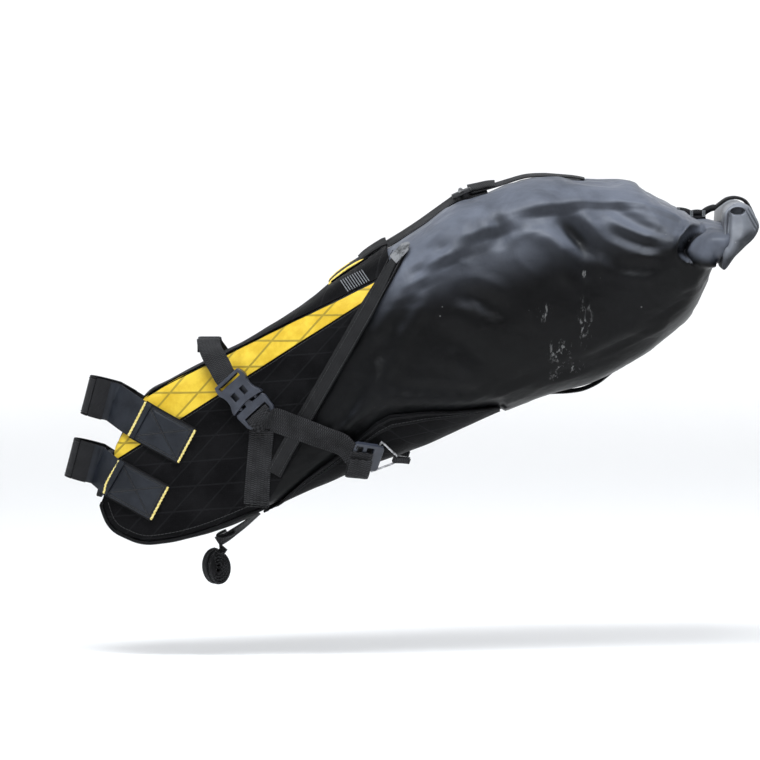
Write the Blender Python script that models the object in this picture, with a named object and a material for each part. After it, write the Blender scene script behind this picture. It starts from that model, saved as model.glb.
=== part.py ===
"""Roll-top seat pack: a stuffed bag in a sewn holster that straps to a seatpost and two saddle rails.

Metres, +Z up. The origin is the middle of the pad face that rests on the seatpost.
+X points rearwards along the bicycle, and -Y is the bicycle's left side.
"""
import math

import bmesh
import bpy
from mathutils import Matrix, Vector

# ---------------------------------------------------------------- driving dimensions
# Sections of the stuffed bag from the seatpost end to the neck of the roll-top. Each row is
# the section's low edge (x, z), its high edge (x, z), its half width and its squareness.
STATIONS = [
    (-0.0010, -0.0400, 0.0145, 0.0220, 0.0240, 7.0),
    (0.0060, -0.0560, 0.0240, 0.0420, 0.0265, 7.0),
    (0.0200, -0.0680, 0.0420, 0.0715, 0.0300, 6.5),
    (0.0470, -0.0755, 0.0650, 0.0850, 0.0350, 6.0),
    (0.0960, -0.0665, 0.1020, 0.1040, 0.0430, 5.5),
    (0.1500, -0.0455, 0.1500, 0.1290, 0.0530, 5.0),
    (0.2050, -0.0205, 0.1980, 0.1600, 0.0630, 4.4),
    (0.2550, 0.0010, 0.2320, 0.1860, 0.0710, 3.8),
    (0.3000, 0.0165, 0.2640, 0.2070, 0.0765, 3.2),
    (0.3460, 0.0370, 0.3040, 0.2340, 0.0805, 2.8),
    (0.3930, 0.0570, 0.3460, 0.2600, 0.0825, 2.5),
    (0.4400, 0.0740, 0.3910, 0.2765, 0.0830, 2.4),
    (0.4830, 0.0870, 0.4380, 0.2845, 0.0815, 2.4),
    (0.5210, 0.1070, 0.4840, 0.2840, 0.0800, 2.4),
    (0.5530, 0.1290, 0.5200, 0.2795, 0.0835, 2.4),
    (0.5770, 0.1520, 0.5500, 0.2655, 0.0895, 2.3),
    (0.5895, 0.1750, 0.5740, 0.2535, 0.0970, 2.2),
    (0.5985, 0.1960, 0.5890, 0.2500, 0.1050, 2.2),
]
HOLSTER_END = 11.0         # station where the holster's skins stop pressing on the bag
BAG_INSET = 0.0022         # how far the bag lies inside the skins that wrap it
RINGS_PER_STATION = 2
RING_SIDES = 36

SKIN = 0.0014              # thickness of one sewn fabric layer
LAYER = 0.0024             # lift of the second layer over the first
SEAM = 0.0006              # gap left where two skins meet edge to edge
WEBBING = 0.0016
STRAP_WIDTH = 0.025

# Borders of the side skins, as (x, z) seen from the side.
TRIM_LOW = [(0.0055, 0.0035), (0.2640, 0.1705)]
TRIM_HIGH = [(0.0135, 0.0200), (0.0400, 0.0670), (0.0600, 0.0790), (0.2700, 0.1850)]
SIDE_LOW = [(-0.0010, -0.0330), (0.0070, -0.0540), (0.0210, -0.0650), (0.0470, -0.0715),
            (0.0960, -0.0615), (0.1500, -0.0390), (0.1620, -0.0335)]
SIDE_HIGH = [(0.0054, 0.0019), (0.2654, 0.1690), (0.2720, 0.1860), (0.2990, 0.2130)]
GUARD_EDGE = [(0.1660, -0.0400), (0.1989, -0.0097), (0.2260, 0.0116), (0.2580, 0.0388),
              (0.2697, 0.0490), (0.2823, 0.0560), (0.3162, 0.0592), (0.3502, 0.0592),
              (0.3938, 0.0620)]

# Seatpost straps and the pad, in the frame of a post that leans back by POST_LEAN.
POST_LEAN = math.radians(14.5)
POST_RADIUS = 0.0155
PAD_SIZE = (0.0060, 0.030)
PAD_SPAN = (-0.0290, 0.0170)
STRAP_HEIGHT = 0.038
STRAP_THICKNESS = 0.0018
PATCH_THICKNESS = 0.0018
ROOT_LIFT = 0.0057         # lift of a post strap over the bag where it leaves its patch
POST_STRAPS = {"upper": 0.0648, "lower": 0.0010}
PATCH_TILT = math.radians(28.0)
PATCHES = {"upper": (0.0325, 0.0500), "lower": (0.0056, -0.0063)}
PATCH_LENGTH = 0.0540

# Side-release buckle, 25 mm webbing size, from its webbing end to the bar of the other half.
BUCKLE_TOP = (0.1242, 0.0902)
BUCKLE_END = (0.1610, 0.0504)
FEMALE_LENGTH = 0.0330
BUCKLE_HEIGHT = 0.0092
BUCKLE_LIFT = 0.0062
BUCKLE_WALL = 0.0018
PRONG_SHELF = 0.0023       # gap below and above the plug half inside the socket half

# Lower side strap, its ladder buckle, the wire ring and the ring's tab.
LOWER_STRAP = [(0.1560, 0.0545), (0.2450, 0.0245)]
LADDER_CENTRE = (0.2570, 0.0205)
LADDER_SIZE = (0.0300, 0.0290, 0.0052)
LADDER_LIFT = 0.0086
RING_BASE = 0.0300
RING_APEX = 0.0060
RING_LENGTH = 0.0200
WIRE_RADIUS = 0.00125

# Top strap, roll-top and hanging tail.
ROLL_CENTRE = (0.6205, 0.2310)
ROLL_LEAN = math.radians(20.0)
ROLL_SIZE = (0.0300, 0.0620)
ROLL_WIDTH = 0.2280
ROLL_PITCH = 0.0042
ROLL_SHEET = 0.0032
ROLL_PIVOT = (0.6015, 0.2230)
TAIL_PIVOT = (0.1174, -0.0790)

FINISHES = {
    "coated_fabric": ((0.020, 0.021, 0.025), 0.38, 0.0),
    "laminate": ((0.014, 0.014, 0.017), 0.62, 0.0),
    "yellow_laminate": ((0.830, 0.520, 0.022), 0.55, 0.0),
    "patch_fabric": ((0.015, 0.018, 0.026), 0.50, 0.0),
    "binding": ((0.010, 0.010, 0.011), 0.75, 0.0),
    "webbing": ((0.026, 0.026, 0.028), 0.80, 0.0),
    "hook_tape": ((0.012, 0.012, 0.013), 0.85, 0.0),
    "foam": ((0.018, 0.018, 0.020), 0.90, 0.0),
    "slate_plastic": ((0.070, 0.080, 0.110), 0.42, 0.0),
    "black_plastic": ((0.016, 0.016, 0.018), 0.40, 0.0),
    "steel_wire": ((0.100, 0.100, 0.105), 0.35, 0.9),
    "stiffener": ((0.060, 0.060, 0.062), 0.50, 0.0),
}


# ---------------------------------------------------------------- objects and materials
def clear_scene():
    for item in list(bpy.data.objects):
        bpy.data.objects.remove(item, do_unlink=True)


def finish_material(finish):
    material = bpy.data.materials.get(finish)
    if material:
        return material
    colour, roughness, metallic = FINISHES[finish]
    material = bpy.data.materials.new(finish)
    material.use_nodes = True
    shader = material.node_tree.nodes["Principled BSDF"]
    shader.inputs["Base Color"].default_value = (*colour, 1.0)
    shader.inputs["Roughness"].default_value = roughness
    shader.inputs["Metallic"].default_value = metallic
    return material


def make_object(name, bm, finish, pivot=None):
    """Finish a closed bmesh as a named object whose origin is on its joint axis."""
    bmesh.ops.recalc_face_normals(bm, faces=bm.faces)
    mesh = bpy.data.meshes.new(name)
    bm.to_mesh(mesh)
    bm.free()
    mesh.materials.append(finish_material(finish))
    mesh.shade_smooth()
    mesh.set_sharp_from_angle(angle=math.radians(35.0))
    item = bpy.data.objects.new(name, mesh)
    bpy.context.scene.collection.objects.link(item)
    if pivot is not None:
        mesh.transform(Matrix.Translation(-pivot))
        item.location = pivot
    return item


def mirror_object(source, name):
    """The right-hand copy of a left-hand piece, mirrored in the plane Y = 0."""
    mesh = source.data.copy()
    mesh.transform(Matrix.Scale(-1.0, 4, Vector((0.0, 1.0, 0.0))))
    mesh.flip_normals()
    item = bpy.data.objects.new(name, mesh)
    item.location = Vector((source.location.x, -source.location.y, source.location.z))
    bpy.context.scene.collection.objects.link(item)
    return item


def make_pair(build, stem):
    """Build a left piece, then its mirrored right piece."""
    left = build(stem + "_left")
    mirror_object(left, stem + "_right")
    return left


# ---------------------------------------------------------------- the bag's surface
def section(u):
    """The section at a station number, smoothly interpolated between the stations."""
    last = len(STATIONS) - 1
    u = min(max(u, 0.0), last)
    first = min(int(u), last - 1)
    t = u - first
    rows = [STATIONS[min(max(first + step, 0), last)] for step in (-1, 0, 1, 2)]
    values = []
    for before, start, end, after in zip(*rows):
        slope_in = (end - before) / 2.0
        slope_out = (after - start) / 2.0
        values.append((2 * t ** 3 - 3 * t ** 2 + 1) * start + (t ** 3 - 2 * t ** 2 + t) * slope_in
                      + (3 * t ** 2 - 2 * t ** 3) * end + (t ** 3 - t ** 2) * slope_out)
    return values


def ring_point(u, angle, inset=0.0):
    """A point on the section: angle 0 is the right side, 90 degrees the top, 180 the left."""
    low_x, low_z, high_x, high_z, half, power = section(u)
    low = Vector((low_x, 0.0, low_z))
    high = Vector((high_x, 0.0, high_z))
    middle = (low + high) / 2.0
    reach = (high - low) / 2.0
    reach *= 1.0 - inset / reach.length
    across = (half - inset) * math.copysign(abs(math.cos(angle)) ** (2.0 / power), math.cos(angle))
    rise = math.copysign(abs(math.sin(angle)) ** (2.0 / power), math.sin(angle))
    return middle + reach * rise + Vector((0.0, across, 0.0))


def ring_frame(u, angle):
    """Point and outward normal of the bag's surface."""
    step_u, step_angle = 0.05, 0.02
    point = ring_point(u, angle)
    along = ring_point(u + step_u, angle) - ring_point(u - step_u, angle)
    around = ring_point(u, angle + step_angle) - ring_point(u, angle - step_angle)
    normal = around.cross(along).normalized()
    low_x, low_z, high_x, high_z = section(u)[:4]
    middle = Vector(((low_x + high_x) / 2.0, 0.0, (low_z + high_z) / 2.0))
    if normal.dot(point - middle) < 0.0:
        normal.negate()
    return point, normal


def locate(x, z):
    """Station number and rise (-1 low edge to +1 high edge) of a point seen from the side."""
    low_u, high_u = 0.0, len(STATIONS) - 1.0
    for _ in range(30):
        u = (low_u + high_u) / 2.0
        low_x, low_z, high_x, high_z = section(u)[:4]
        if (high_x - low_x) * (z - low_z) - (high_z - low_z) * (x - low_x) > 0.0:
            high_u = u
        else:
            low_u = u
    low_x, low_z, high_x, high_z = section(u)[:4]
    reach = Vector((high_x - low_x, high_z - low_z))
    rise = 2.0 * Vector((x - low_x, z - low_z)).dot(reach) / reach.length_squared - 1.0
    return u, min(max(rise, -0.995), 0.995)


def side_angle(u, rise):
    """Ring angle of a rise on the left side."""
    power = section(u)[5]
    return math.pi - math.asin(math.copysign(abs(rise) ** (power / 2.0), rise))


def side_frame(x, z):
    """Point and normal of the left side's surface at (x, z)."""
    u, rise = locate(x, z)
    return ring_frame(u, side_angle(u, rise))


def edge_rise(u, border):
    """Rise at which the section at u crosses a border given as (x, z) points."""
    low_x, low_z, high_x, high_z = section(u)[:4]
    low = Vector((low_x, low_z))
    reach = Vector((high_x - low_x, high_z - low_z))
    normal = Vector((-reach.y, reach.x))
    for start, end in zip(border[:-1], border[1:]):
        a = (Vector(start) - low).dot(normal)
        b = (Vector(end) - low).dot(normal)
        if a * b <= 0.0 and a != b:
            crossing = Vector(start).lerp(Vector(end), a / (a - b))
            return 2.0 * (crossing - low).dot(reach) / reach.length_squared - 1.0
    nearest = min((border[0], border[-1]), key=lambda p: abs((Vector(p) - low).dot(normal)))
    return 2.0 * (Vector(nearest) - low).dot(reach) / reach.length_squared - 1.0


# ---------------------------------------------------------------- mesh builders
def resample(points, count):
    """The same polyline as count points, nearly evenly spaced, with its corners kept."""
    points = [Vector(p) for p in points]
    lengths = [(b - a).length for a, b in zip(points[:-1], points[1:])]
    shares = [max(1, round((count - 1) * length / sum(lengths))) for length in lengths]
    shares[lengths.index(max(lengths))] += count - 1 - sum(shares)
    result = [points[0]]
    for start, end, share in zip(points[:-1], points[1:], shares):
        result += [start.lerp(end, k / share) for k in range(1, share + 1)]
    return result


def smooth_path(points, count):
    """Evenly timed points on a Catmull-Rom curve through the given points."""
    points = [Vector(p) for p in points]
    result = []
    for index in range(count):
        t = (len(points) - 1) * index / (count - 1)
        first = min(int(t), len(points) - 2)
        t -= first
        p0, p1, p2, p3 = [points[min(max(first + k, 0), len(points) - 1)] for k in (-1, 0, 1, 2)]
        result.append(0.5 * ((2 * p1) + (p2 - p0) * t + (2 * p0 - 5 * p1 + 4 * p2 - p3) * t ** 2
                             + (3 * p1 - p0 - 3 * p2 + p3) * t ** 3))
    return result


def add_grid_solid(bm, inner, outer):
    """Join two grids of points into one closed solid."""
    grids = [[[bm.verts.new(p) for p in row] for row in grid] for grid in (inner, outer)]
    inner, outer = grids
    rows, columns = len(inner), len(inner[0])
    for i in range(rows - 1):
        k = i + 1
        for j in range(columns - 1):
            bm.faces.new((outer[i][j], outer[i][j + 1], outer[k][j + 1], outer[k][j]))
            bm.faces.new((inner[i][j], inner[k][j], inner[k][j + 1], inner[i][j + 1]))
        for j in (0, columns - 1):
            bm.faces.new((inner[i][j], outer[i][j], outer[k][j], inner[k][j]))
    for i in (0, rows - 1):
        for j in range(columns - 1):
            bm.faces.new((inner[i][j], inner[i][j + 1], outer[i][j + 1], outer[i][j]))


def skin(name, rows, lift, thickness, finish):
    """A fabric layer over rows of (point, normal)."""
    bm = bmesh.new()
    inner = [[point + normal * lift for point, normal in row] for row in rows]
    outer = [[point + normal * (lift + thickness) for point, normal in row] for row in rows]
    add_grid_solid(bm, inner, outer)
    return make_object(name, bm, finish)


def side_skin(name, low, high, columns, rows, lift, thickness, finish):
    """A layer on the left side, between a low and a high border."""
    grid = []
    for start, end in zip(resample(low, columns), resample(high, columns)):
        grid.append([side_frame(*start.lerp(end, k / rows)) for k in range(rows + 1)])
    return skin(name, grid, lift, thickness, finish)


def side_band(name, path, width, columns, lift, thickness, finish, across=2):
    """A band of even width on the left side, along a path of (x, z) points."""
    points = resample(path, columns)
    grid = []
    for index, point in enumerate(points):
        before = points[max(index - 1, 0)]
        after = points[min(index + 1, columns - 1)]
        tangent = (after - before).normalized()
        normal = Vector((-tangent.y, tangent.x))
        grid.append([side_frame(*(point + normal * width * (k / across - 0.5)))
                     for k in range(across + 1)])
    return skin(name, grid, lift, thickness, finish)


def sweep(name, path, across, width, thickness, finish, pivot=None):
    """A flat strap along a path; across gives its width direction at each point."""
    bm = bmesh.new()
    add_strap(bm, path, across, width, thickness)
    return make_object(name, bm, finish, pivot)


def add_strap(bm, path, across, width, thickness):
    """A flat strap whose centre plane follows the path."""
    inner, outer = [], []
    for index, point in enumerate(path):
        before = path[max(index - 1, 0)]
        after = path[min(index + 1, len(path) - 1)]
        tangent = (after - before).normalized()
        side = across[index].normalized() if isinstance(across, list) else across.normalized()
        normal = tangent.cross(side).normalized()
        side = normal.cross(tangent)
        edges = [point - side * width / 2.0, point + side * width / 2.0]
        inner.append([edge - normal * thickness / 2.0 for edge in edges])
        outer.append([edge + normal * thickness / 2.0 for edge in edges])
    add_grid_solid(bm, inner, outer)


def add_tube(bm, path, radius, sides=8, closed=False):
    """A round bar along a path."""
    rings = []
    count = len(path)
    reference = Vector((0.0, 1.0, 0.0))
    for index, point in enumerate(path):
        if closed:
            before, after = path[index - 1], path[(index + 1) % count]
        else:
            before, after = path[max(index - 1, 0)], path[min(index + 1, count - 1)]
        tangent = (after - before).normalized()
        first = tangent.cross(reference).normalized()
        second = tangent.cross(first)
        ring = []
        for k in range(sides):
            angle = 2.0 * math.pi * k / sides
            ring.append(bm.verts.new(point + radius * (first * math.cos(angle) + second * math.sin(angle))))
        rings.append(ring)
    for index in range(count if closed else count - 1):
        ring, following = rings[index], rings[(index + 1) % count]
        for k in range(sides):
            m = (k + 1) % sides
            bm.faces.new((ring[k], ring[m], following[m], following[k]))
    if not closed:
        bm.faces.new(rings[0])
        bm.faces.new(rings[-1])


def add_prism(bm, outline, low, high, matrix=None):
    """Extrude a closed (a, b) outline from c = low to c = high."""
    matrix = matrix or Matrix.Identity(4)
    bottom = [bm.verts.new(matrix @ Vector((a, b, low))) for a, b in outline]
    top = [bm.verts.new(matrix @ Vector((a, b, high))) for a, b in outline]
    bm.faces.new(bottom)
    bm.faces.new(list(reversed(top)))
    for k in range(len(outline)):
        m = (k + 1) % len(outline)
        bm.faces.new((bottom[k], top[k], top[m], bottom[m]))


def rectangle(a_low, a_high, b_low, b_high):
    return [(a_low, b_low), (a_high, b_low), (a_high, b_high), (a_low, b_high)]


def rounded(a_low, a_high, b_low, b_high, radius, steps=3):
    """A rectangle outline with round corners."""
    outline = []
    corners = [(a_high - radius, b_high - radius, 0.0), (a_low + radius, b_high - radius, 90.0),
               (a_low + radius, b_low + radius, 180.0), (a_high - radius, b_low + radius, 270.0)]
    for a, b, start in corners:
        for k in range(steps + 1):
            angle = math.radians(start + 90.0 * k / steps)
            outline.append((a + radius * math.cos(angle), b + radius * math.sin(angle)))
    return outline


def side_matrix(x, z, direction, lift):
    """A frame on the left side: a along an (x, z) direction, c outwards, b = c x a."""
    point, normal = side_frame(x, z)
    along = Vector((direction[0], 0.0, direction[1]))
    along = (along - normal * along.dot(normal)).normalized()
    across = normal.cross(along)
    origin = point + normal * lift
    matrix = Matrix((along, across, normal)).transposed().to_4x4()
    matrix.translation = origin
    return matrix


def cut(target, outlines, low, high, matrix):
    """Cut prisms out of an object with an exact Boolean and apply it."""
    bm = bmesh.new()
    for outline in outlines:
        add_prism(bm, outline, low, high, matrix)
    cutter = make_object("cutter", bm, "binding")
    modifier = target.modifiers.new("cut", "BOOLEAN")
    modifier.operation = "DIFFERENCE"
    modifier.solver = "EXACT"
    modifier.object = cutter
    bpy.context.view_layer.update()
    evaluated = target.evaluated_get(bpy.context.evaluated_depsgraph_get())
    mesh = bpy.data.meshes.new_from_object(evaluated)
    target.modifiers.clear()
    target.data = mesh
    bpy.data.objects.remove(cutter, do_unlink=True)


def move_origin(item, pivot):
    """Put an object's origin on its joint axis without moving its shape."""
    item.data.transform(Matrix.Translation(item.location - pivot))
    item.location = pivot


# ---------------------------------------------------------------- bag and holster skins
def build_dry_bag():
    bm = bmesh.new()
    rings = []
    count = (len(STATIONS) - 1) * RINGS_PER_STATION
    for index in range(count + 1):
        u = index / RINGS_PER_STATION
        inset = BAG_INSET * min(max((HOLSTER_END + 1.0 - u) / 2.0, 0.0), 1.0)
        ring = []
        for k in range(RING_SIDES):
            angle = 2.0 * math.pi * k / RING_SIDES
            ring.append(bm.verts.new(ring_point(u, angle, inset)))
        rings.append(ring)
    for ring, following in zip(rings[:-1], rings[1:]):
        for k in range(RING_SIDES):
            m = (k + 1) % RING_SIDES
            bm.faces.new((ring[k], ring[m], following[m], following[k]))
    bm.faces.new(rings[0])
    bm.faces.new(rings[-1])
    return make_object("dry_bag", bm, "coated_fabric")


def build_side_panel(name):
    return side_skin(name, SIDE_LOW, SIDE_HIGH, 16, 9, 0.0, SKIN, "laminate")


def build_top_trim(name):
    return side_skin(name, TRIM_LOW, TRIM_HIGH, 16, 4, 0.0, SKIN, "yellow_laminate")


def build_rear_binding(name):
    """The stitched band over the side panel's diagonal rear edge."""
    return side_band(name, [(0.1795, 0.0170), (0.2800, 0.1925)], 0.016, 14, LAYER, SKIN,
                     "binding", across=2)


def cross_skin(name, border, angle_side, u_start, u_end, rows, columns, lift, thickness, finish):
    """A skin over the bag's top (angle_side 1) or bottom (-1), between the two side borders."""
    grid = []
    for index in range(rows + 1):
        u = u_start + (u_end - u_start) * index / rows
        rise = min(max(edge_rise(u, border), -0.999), 0.999)
        start = side_angle(u, rise)
        middle = math.pi / 2.0 if angle_side > 0 else 1.5 * math.pi
        margin = math.copysign(SEAM / section(u)[4], middle - start)
        reach = middle - start - margin
        grid.append([ring_frame(u, middle - reach + 2.0 * reach * k / columns)
                     for k in range(columns + 1)])
    return skin(name, grid, lift, thickness, finish)


def shifted(border, rise):
    """The same border, moved up by rise."""
    return [(x, z + rise) for x, z in border]


def build_top_panel():
    border = shifted(TRIM_HIGH + SIDE_HIGH[-1:], 4.0 * SEAM)
    return cross_skin("top_panel", border, 1, 0.3, 8.4, 18, 12, 0.0, SKIN, "laminate")


def build_base_panel():
    border = shifted(SIDE_LOW, -2.5 * SEAM)
    return cross_skin("base_panel", border, -1, 0.12, 5.05, 13, 10, 0.0, SKIN, "laminate")


def build_bottom_guard():
    return cross_skin("bottom_guard", GUARD_EDGE, -1, 5.15, 9.95, 13, 16, 0.0, SKIN, "laminate")


def build_piping(name):
    """The corded seam round the side panel's front lower corner."""
    path = []
    for point in smooth_path(SIDE_LOW, 22):
        place, normal = side_frame(point.x, point.y)
        path.append(place + normal * (SKIN + 0.0016))
    bm = bmesh.new()
    add_tube(bm, path, 0.0012, 6)
    return make_object(name, bm, "binding")


def post_matrix(height):
    """Frame of the seatpost: a rearwards, b to +Y, c up the post, origin on the pad's plane."""
    rear = Vector((math.cos(POST_LEAN), 0.0, -math.sin(POST_LEAN)))
    up = Vector((math.sin(POST_LEAN), 0.0, math.cos(POST_LEAN)))
    matrix = Matrix((rear, Vector((0.0, 1.0, 0.0)), up)).transposed().to_4x4()
    matrix.translation = up * height
    return matrix


def build_front_pad():
    """The foam pad whose flat face rests on the seatpost."""
    depth, width = PAD_SIZE
    bm = bmesh.new()
    add_prism(bm, rectangle(0.0, depth, -width / 2.0, width / 2.0), *PAD_SPAN, post_matrix(0.0))
    return make_object("front_pad", bm, "foam")


def build_front_panel():
    """The fabric face behind the pad, closing the holster's front."""
    bm = bmesh.new()
    low_x, low_z, high_x, high_z, half, power = section(0.0)
    low = Vector((low_x, 0.0, low_z))
    high = Vector((high_x, 0.0, high_z))
    up = (high - low).normalized()
    rear = Vector((up.z, 0.0, -up.x))
    matrix = Matrix((up, Vector((0.0, -1.0, 0.0)), -rear)).transposed().to_4x4()
    matrix.translation = (low + high) / 2.0
    reach = (high - low).length / 2.0
    add_prism(bm, rounded(-reach + 0.002, reach - 0.002, -half + 0.003, half - 0.003, 0.008),
              0.0004, 0.0016, matrix)
    return make_object("front_panel", bm, "laminate")


# ---------------------------------------------------------------- seatpost straps
def build_patch(name, level):
    x, z = PATCHES[level]
    along = Vector((math.cos(PATCH_TILT), -math.sin(PATCH_TILT)))
    up = Vector((math.sin(PATCH_TILT), math.cos(PATCH_TILT)))
    start = Vector((x, z)) + along * 0.004
    rows = []
    for i in range(6):
        middle = start + along * PATCH_LENGTH * i / 5.0
        rows.append([side_frame(*(middle + up * STRAP_HEIGHT * (k / 4.0 - 0.5))) for k in range(5)])
    return skin(name, rows, LAYER, PATCH_THICKNESS, "patch_fabric")


def strap_root(level, side):
    """Middle of the strap where it leaves the patch, and its width direction there."""
    x, z = PATCHES[level]
    up = Vector((math.sin(PATCH_TILT), math.cos(PATCH_TILT))) * STRAP_HEIGHT / 2.0
    ends = []
    for sign in (-1.0, 1.0):
        point, normal = side_frame(x - 0.0005 + sign * up.x, z + sign * up.y)
        ends.append(point + normal * ROOT_LIFT)
    for end in ends:
        end.y = math.copysign(end.y, side)
    return (ends[0] + ends[1]) / 2.0, (ends[1] - ends[0]).normalized()


def strap_path(side, radius, start_angle, end_angle, level):
    """Route from a patch's front edge along the post's side, then round its front."""
    matrix = post_matrix(POST_STRAPS[level])
    root, patch_up = strap_root(level, side)
    centre = Vector((-POST_RADIUS, 0.0, 0.0))
    arc = []
    steps = max(int(abs(end_angle - start_angle) / 12.0), 2)
    for k in range(steps + 1):
        angle = math.radians(start_angle + (end_angle - start_angle) * k / steps)
        arc.append(matrix @ (centre + Vector((math.cos(angle), side * math.sin(angle), 0.0)) * radius))
    path = [root, root.lerp(arc[0], 0.35), root.lerp(arc[0], 0.7)] + arc
    post_up = Vector((math.sin(POST_LEAN), 0.0, math.cos(POST_LEAN)))
    return path, [patch_up.lerp(post_up, min(k / 3.0, 1.0)) for k in range(len(path))]


def build_post_straps():
    """Loop half on the left, and the hook half that peels off it, for both levels."""
    for level in POST_STRAPS:
        path, across = strap_path(-1.0, POST_RADIUS + 0.0014, 58.0, 160.0, level)
        sweep("post_strap_loop_" + level, path, across, STRAP_HEIGHT, STRAP_THICKNESS, "hook_tape")
        path, across = strap_path(1.0, POST_RADIUS + 0.0038, 58.0, 228.0, level)
        sweep("post_strap_hook_" + level, path, across, STRAP_HEIGHT, STRAP_THICKNESS, "hook_tape",
              path[0].copy())


# ---------------------------------------------------------------- webbing on the sides
def build_side_webbing(name):
    return side_band(name, [(0.1575, 0.0330), (0.1512, -0.0275)], 0.0230, 9, LAYER, WEBBING, "webbing")


def build_rail_strap(name):
    """From the buckle, over the top edge and round the saddle rail, back to the top panel."""
    point, normal = side_frame(0.1215, 0.0935)
    start = point + normal * (BUCKLE_LIFT + 0.004)
    route = [start, Vector((0.1150, -0.0520, 0.1030)), Vector((0.1090, -0.0475, 0.1130)),
             Vector((0.1050, -0.0360, 0.1215)), Vector((0.1040, -0.0290, 0.1262)),
             Vector((0.1040, -0.0255, 0.1262)), Vector((0.1040, -0.0185, 0.1262)),
             Vector((0.1040, -0.0155, 0.1262)), Vector((0.1040, -0.0128, 0.1225)),
             Vector((0.1040, -0.0118, 0.1180)), Vector((0.1040, -0.0118, 0.1135))]
    across = [Vector((0.80, 0.0, 0.60)), Vector((0.88, 0.0, 0.47)), Vector((0.97, 0.0, 0.25))]
    across += [Vector((1.0, 0.0, 0.0))] * (len(route) - len(across))
    return sweep(name, route, across, 0.0220, WEBBING, "webbing")


def buckle_matrix():
    """Frame of the buckle: origin at its mouth, a towards the webbing end of the socket half."""
    top, end = Vector(BUCKLE_TOP), Vector(BUCKLE_END)
    direction = (top - end).normalized()
    mouth = top - direction * FEMALE_LENGTH
    return side_matrix(mouth.x, mouth.y, direction, BUCKLE_LIFT)


def build_buckle_female(name):
    length = FEMALE_LENGTH
    waist = [(length, 0.0150), (length - 0.004, 0.0165), (0.0240, 0.0170), (0.0200, 0.0152),
             (0.0150, 0.0142), (0.0100, 0.0148), (0.0060, 0.0168), (0.0030, 0.0182), (0.0, 0.0182)]
    mouth = [(0.0016, 0.0100), (0.0030, 0.0)]
    half = waist + mouth
    outline = half + [(a, -b) for a, b in reversed(half) if b > 0.0]
    matrix = buckle_matrix()
    bm = bmesh.new()
    add_prism(bm, outline, 0.0, BUCKLE_HEIGHT, matrix)
    item = make_object(name, bm, "slate_plastic")
    cut(item, [rectangle(-0.002, 0.0230, -0.0154, 0.0154)], BUCKLE_WALL, BUCKLE_HEIGHT - BUCKLE_WALL, matrix)
    slots = [rectangle(0.0262, 0.0300, -0.0128, 0.0128)]
    windows = [rectangle(0.0090, 0.0170, -0.0085, -0.0030), rectangle(0.0090, 0.0170, 0.0030, 0.0085)]
    cut(item, slots, -0.002, BUCKLE_HEIGHT + 0.002, matrix)
    cut(item, windows, BUCKLE_HEIGHT - 0.003, BUCKLE_HEIGHT + 0.002, matrix)
    return item


def build_buckle_male(name):
    """The plug half's frame: base, side arms, webbing bar and centre guide."""
    matrix = buckle_matrix()
    outline = [(-0.0010, 0.0040), (0.0190, 0.0020), (0.0190, -0.0020), (-0.0010, -0.0040),
               (-0.0010, -0.0168), (-0.0040, -0.0182), (-0.0180, -0.0172), (-0.0212, -0.0150),
               (-0.0212, 0.0150), (-0.0180, 0.0172), (-0.0040, 0.0182), (-0.0010, 0.0168)]
    bm = bmesh.new()
    add_prism(bm, outline, PRONG_SHELF, BUCKLE_HEIGHT - PRONG_SHELF, matrix)
    item = make_object(name, bm, "slate_plastic")
    cut(item, [rectangle(-0.0170, -0.0095, -0.0135, 0.0135)], -0.01, 0.02, matrix)
    move_origin(item, matrix.translation)
    return item


def build_prong(name, sign):
    """A sprung arm of the plug half with its squeeze button."""
    matrix = buckle_matrix()
    outline = [(-0.0006, 0.0082), (0.0080, 0.0090), (0.0100, 0.0118), (0.0210, 0.0098),
               (0.0216, 0.0112), (0.0195, 0.0146), (0.0100, 0.0148), (0.0062, 0.0140),
               (0.0050, 0.0118), (-0.0006, 0.0112)]
    outline = [(a, b * sign) for a, b in outline]
    bm = bmesh.new()
    add_prism(bm, outline, PRONG_SHELF, BUCKLE_HEIGHT - PRONG_SHELF, matrix)
    return make_object(name, bm, "slate_plastic", matrix @ Vector((-0.0004, 0.0097 * sign, 0.0)))


def build_lower_strap(name):
    return side_band(name, LOWER_STRAP, STRAP_WIDTH - 0.002, 10, LAYER + 0.0023, WEBBING, "webbing")


def ladder_matrix(lift):
    start, end = Vector(LOWER_STRAP[0]), Vector(LOWER_STRAP[1])
    return side_matrix(LADDER_CENTRE[0], LADDER_CENTRE[1], (end - start).normalized(), lift)


def build_ladderlock(name):
    """The ladder buckle: three bars, and a groove underneath that the wire ring sits in."""
    length, width, height = LADDER_SIZE
    matrix = ladder_matrix(LADDER_LIFT)
    bm = bmesh.new()
    add_prism(bm, rounded(-length / 2.0, length / 2.0, -width / 2.0, width / 2.0, 0.003, 2),
              0.0, height, matrix)
    item = make_object(name, bm, "black_plastic")
    inner = width / 2.0 - 0.003
    cut(item, [rectangle(-0.0115, -0.0060, -inner, inner), rectangle(-0.0020, 0.0050, -inner, inner)],
        -0.01, 0.02, matrix)
    groove = []
    for k in range(9):
        angle = math.radians(180.0 * k / 8.0)
        groove.append((ring_line() + 0.0022 * math.cos(angle), 0.0005 + 0.0022 * math.sin(angle)))
    groove = [(ring_line() + 0.0032, -0.01)] + groove + [(ring_line() - 0.0032, -0.01)]
    turned = matrix @ Matrix(((1, 0, 0, 0), (0, 0, 1, 0), (0, 1, 0, 0), (0, 0, 0, 1)))
    cut(item, [groove], -0.03, 0.03, turned)
    move_origin(item, matrix @ Vector((ring_line(), 0.0, 0.0005)))
    return item


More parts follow.
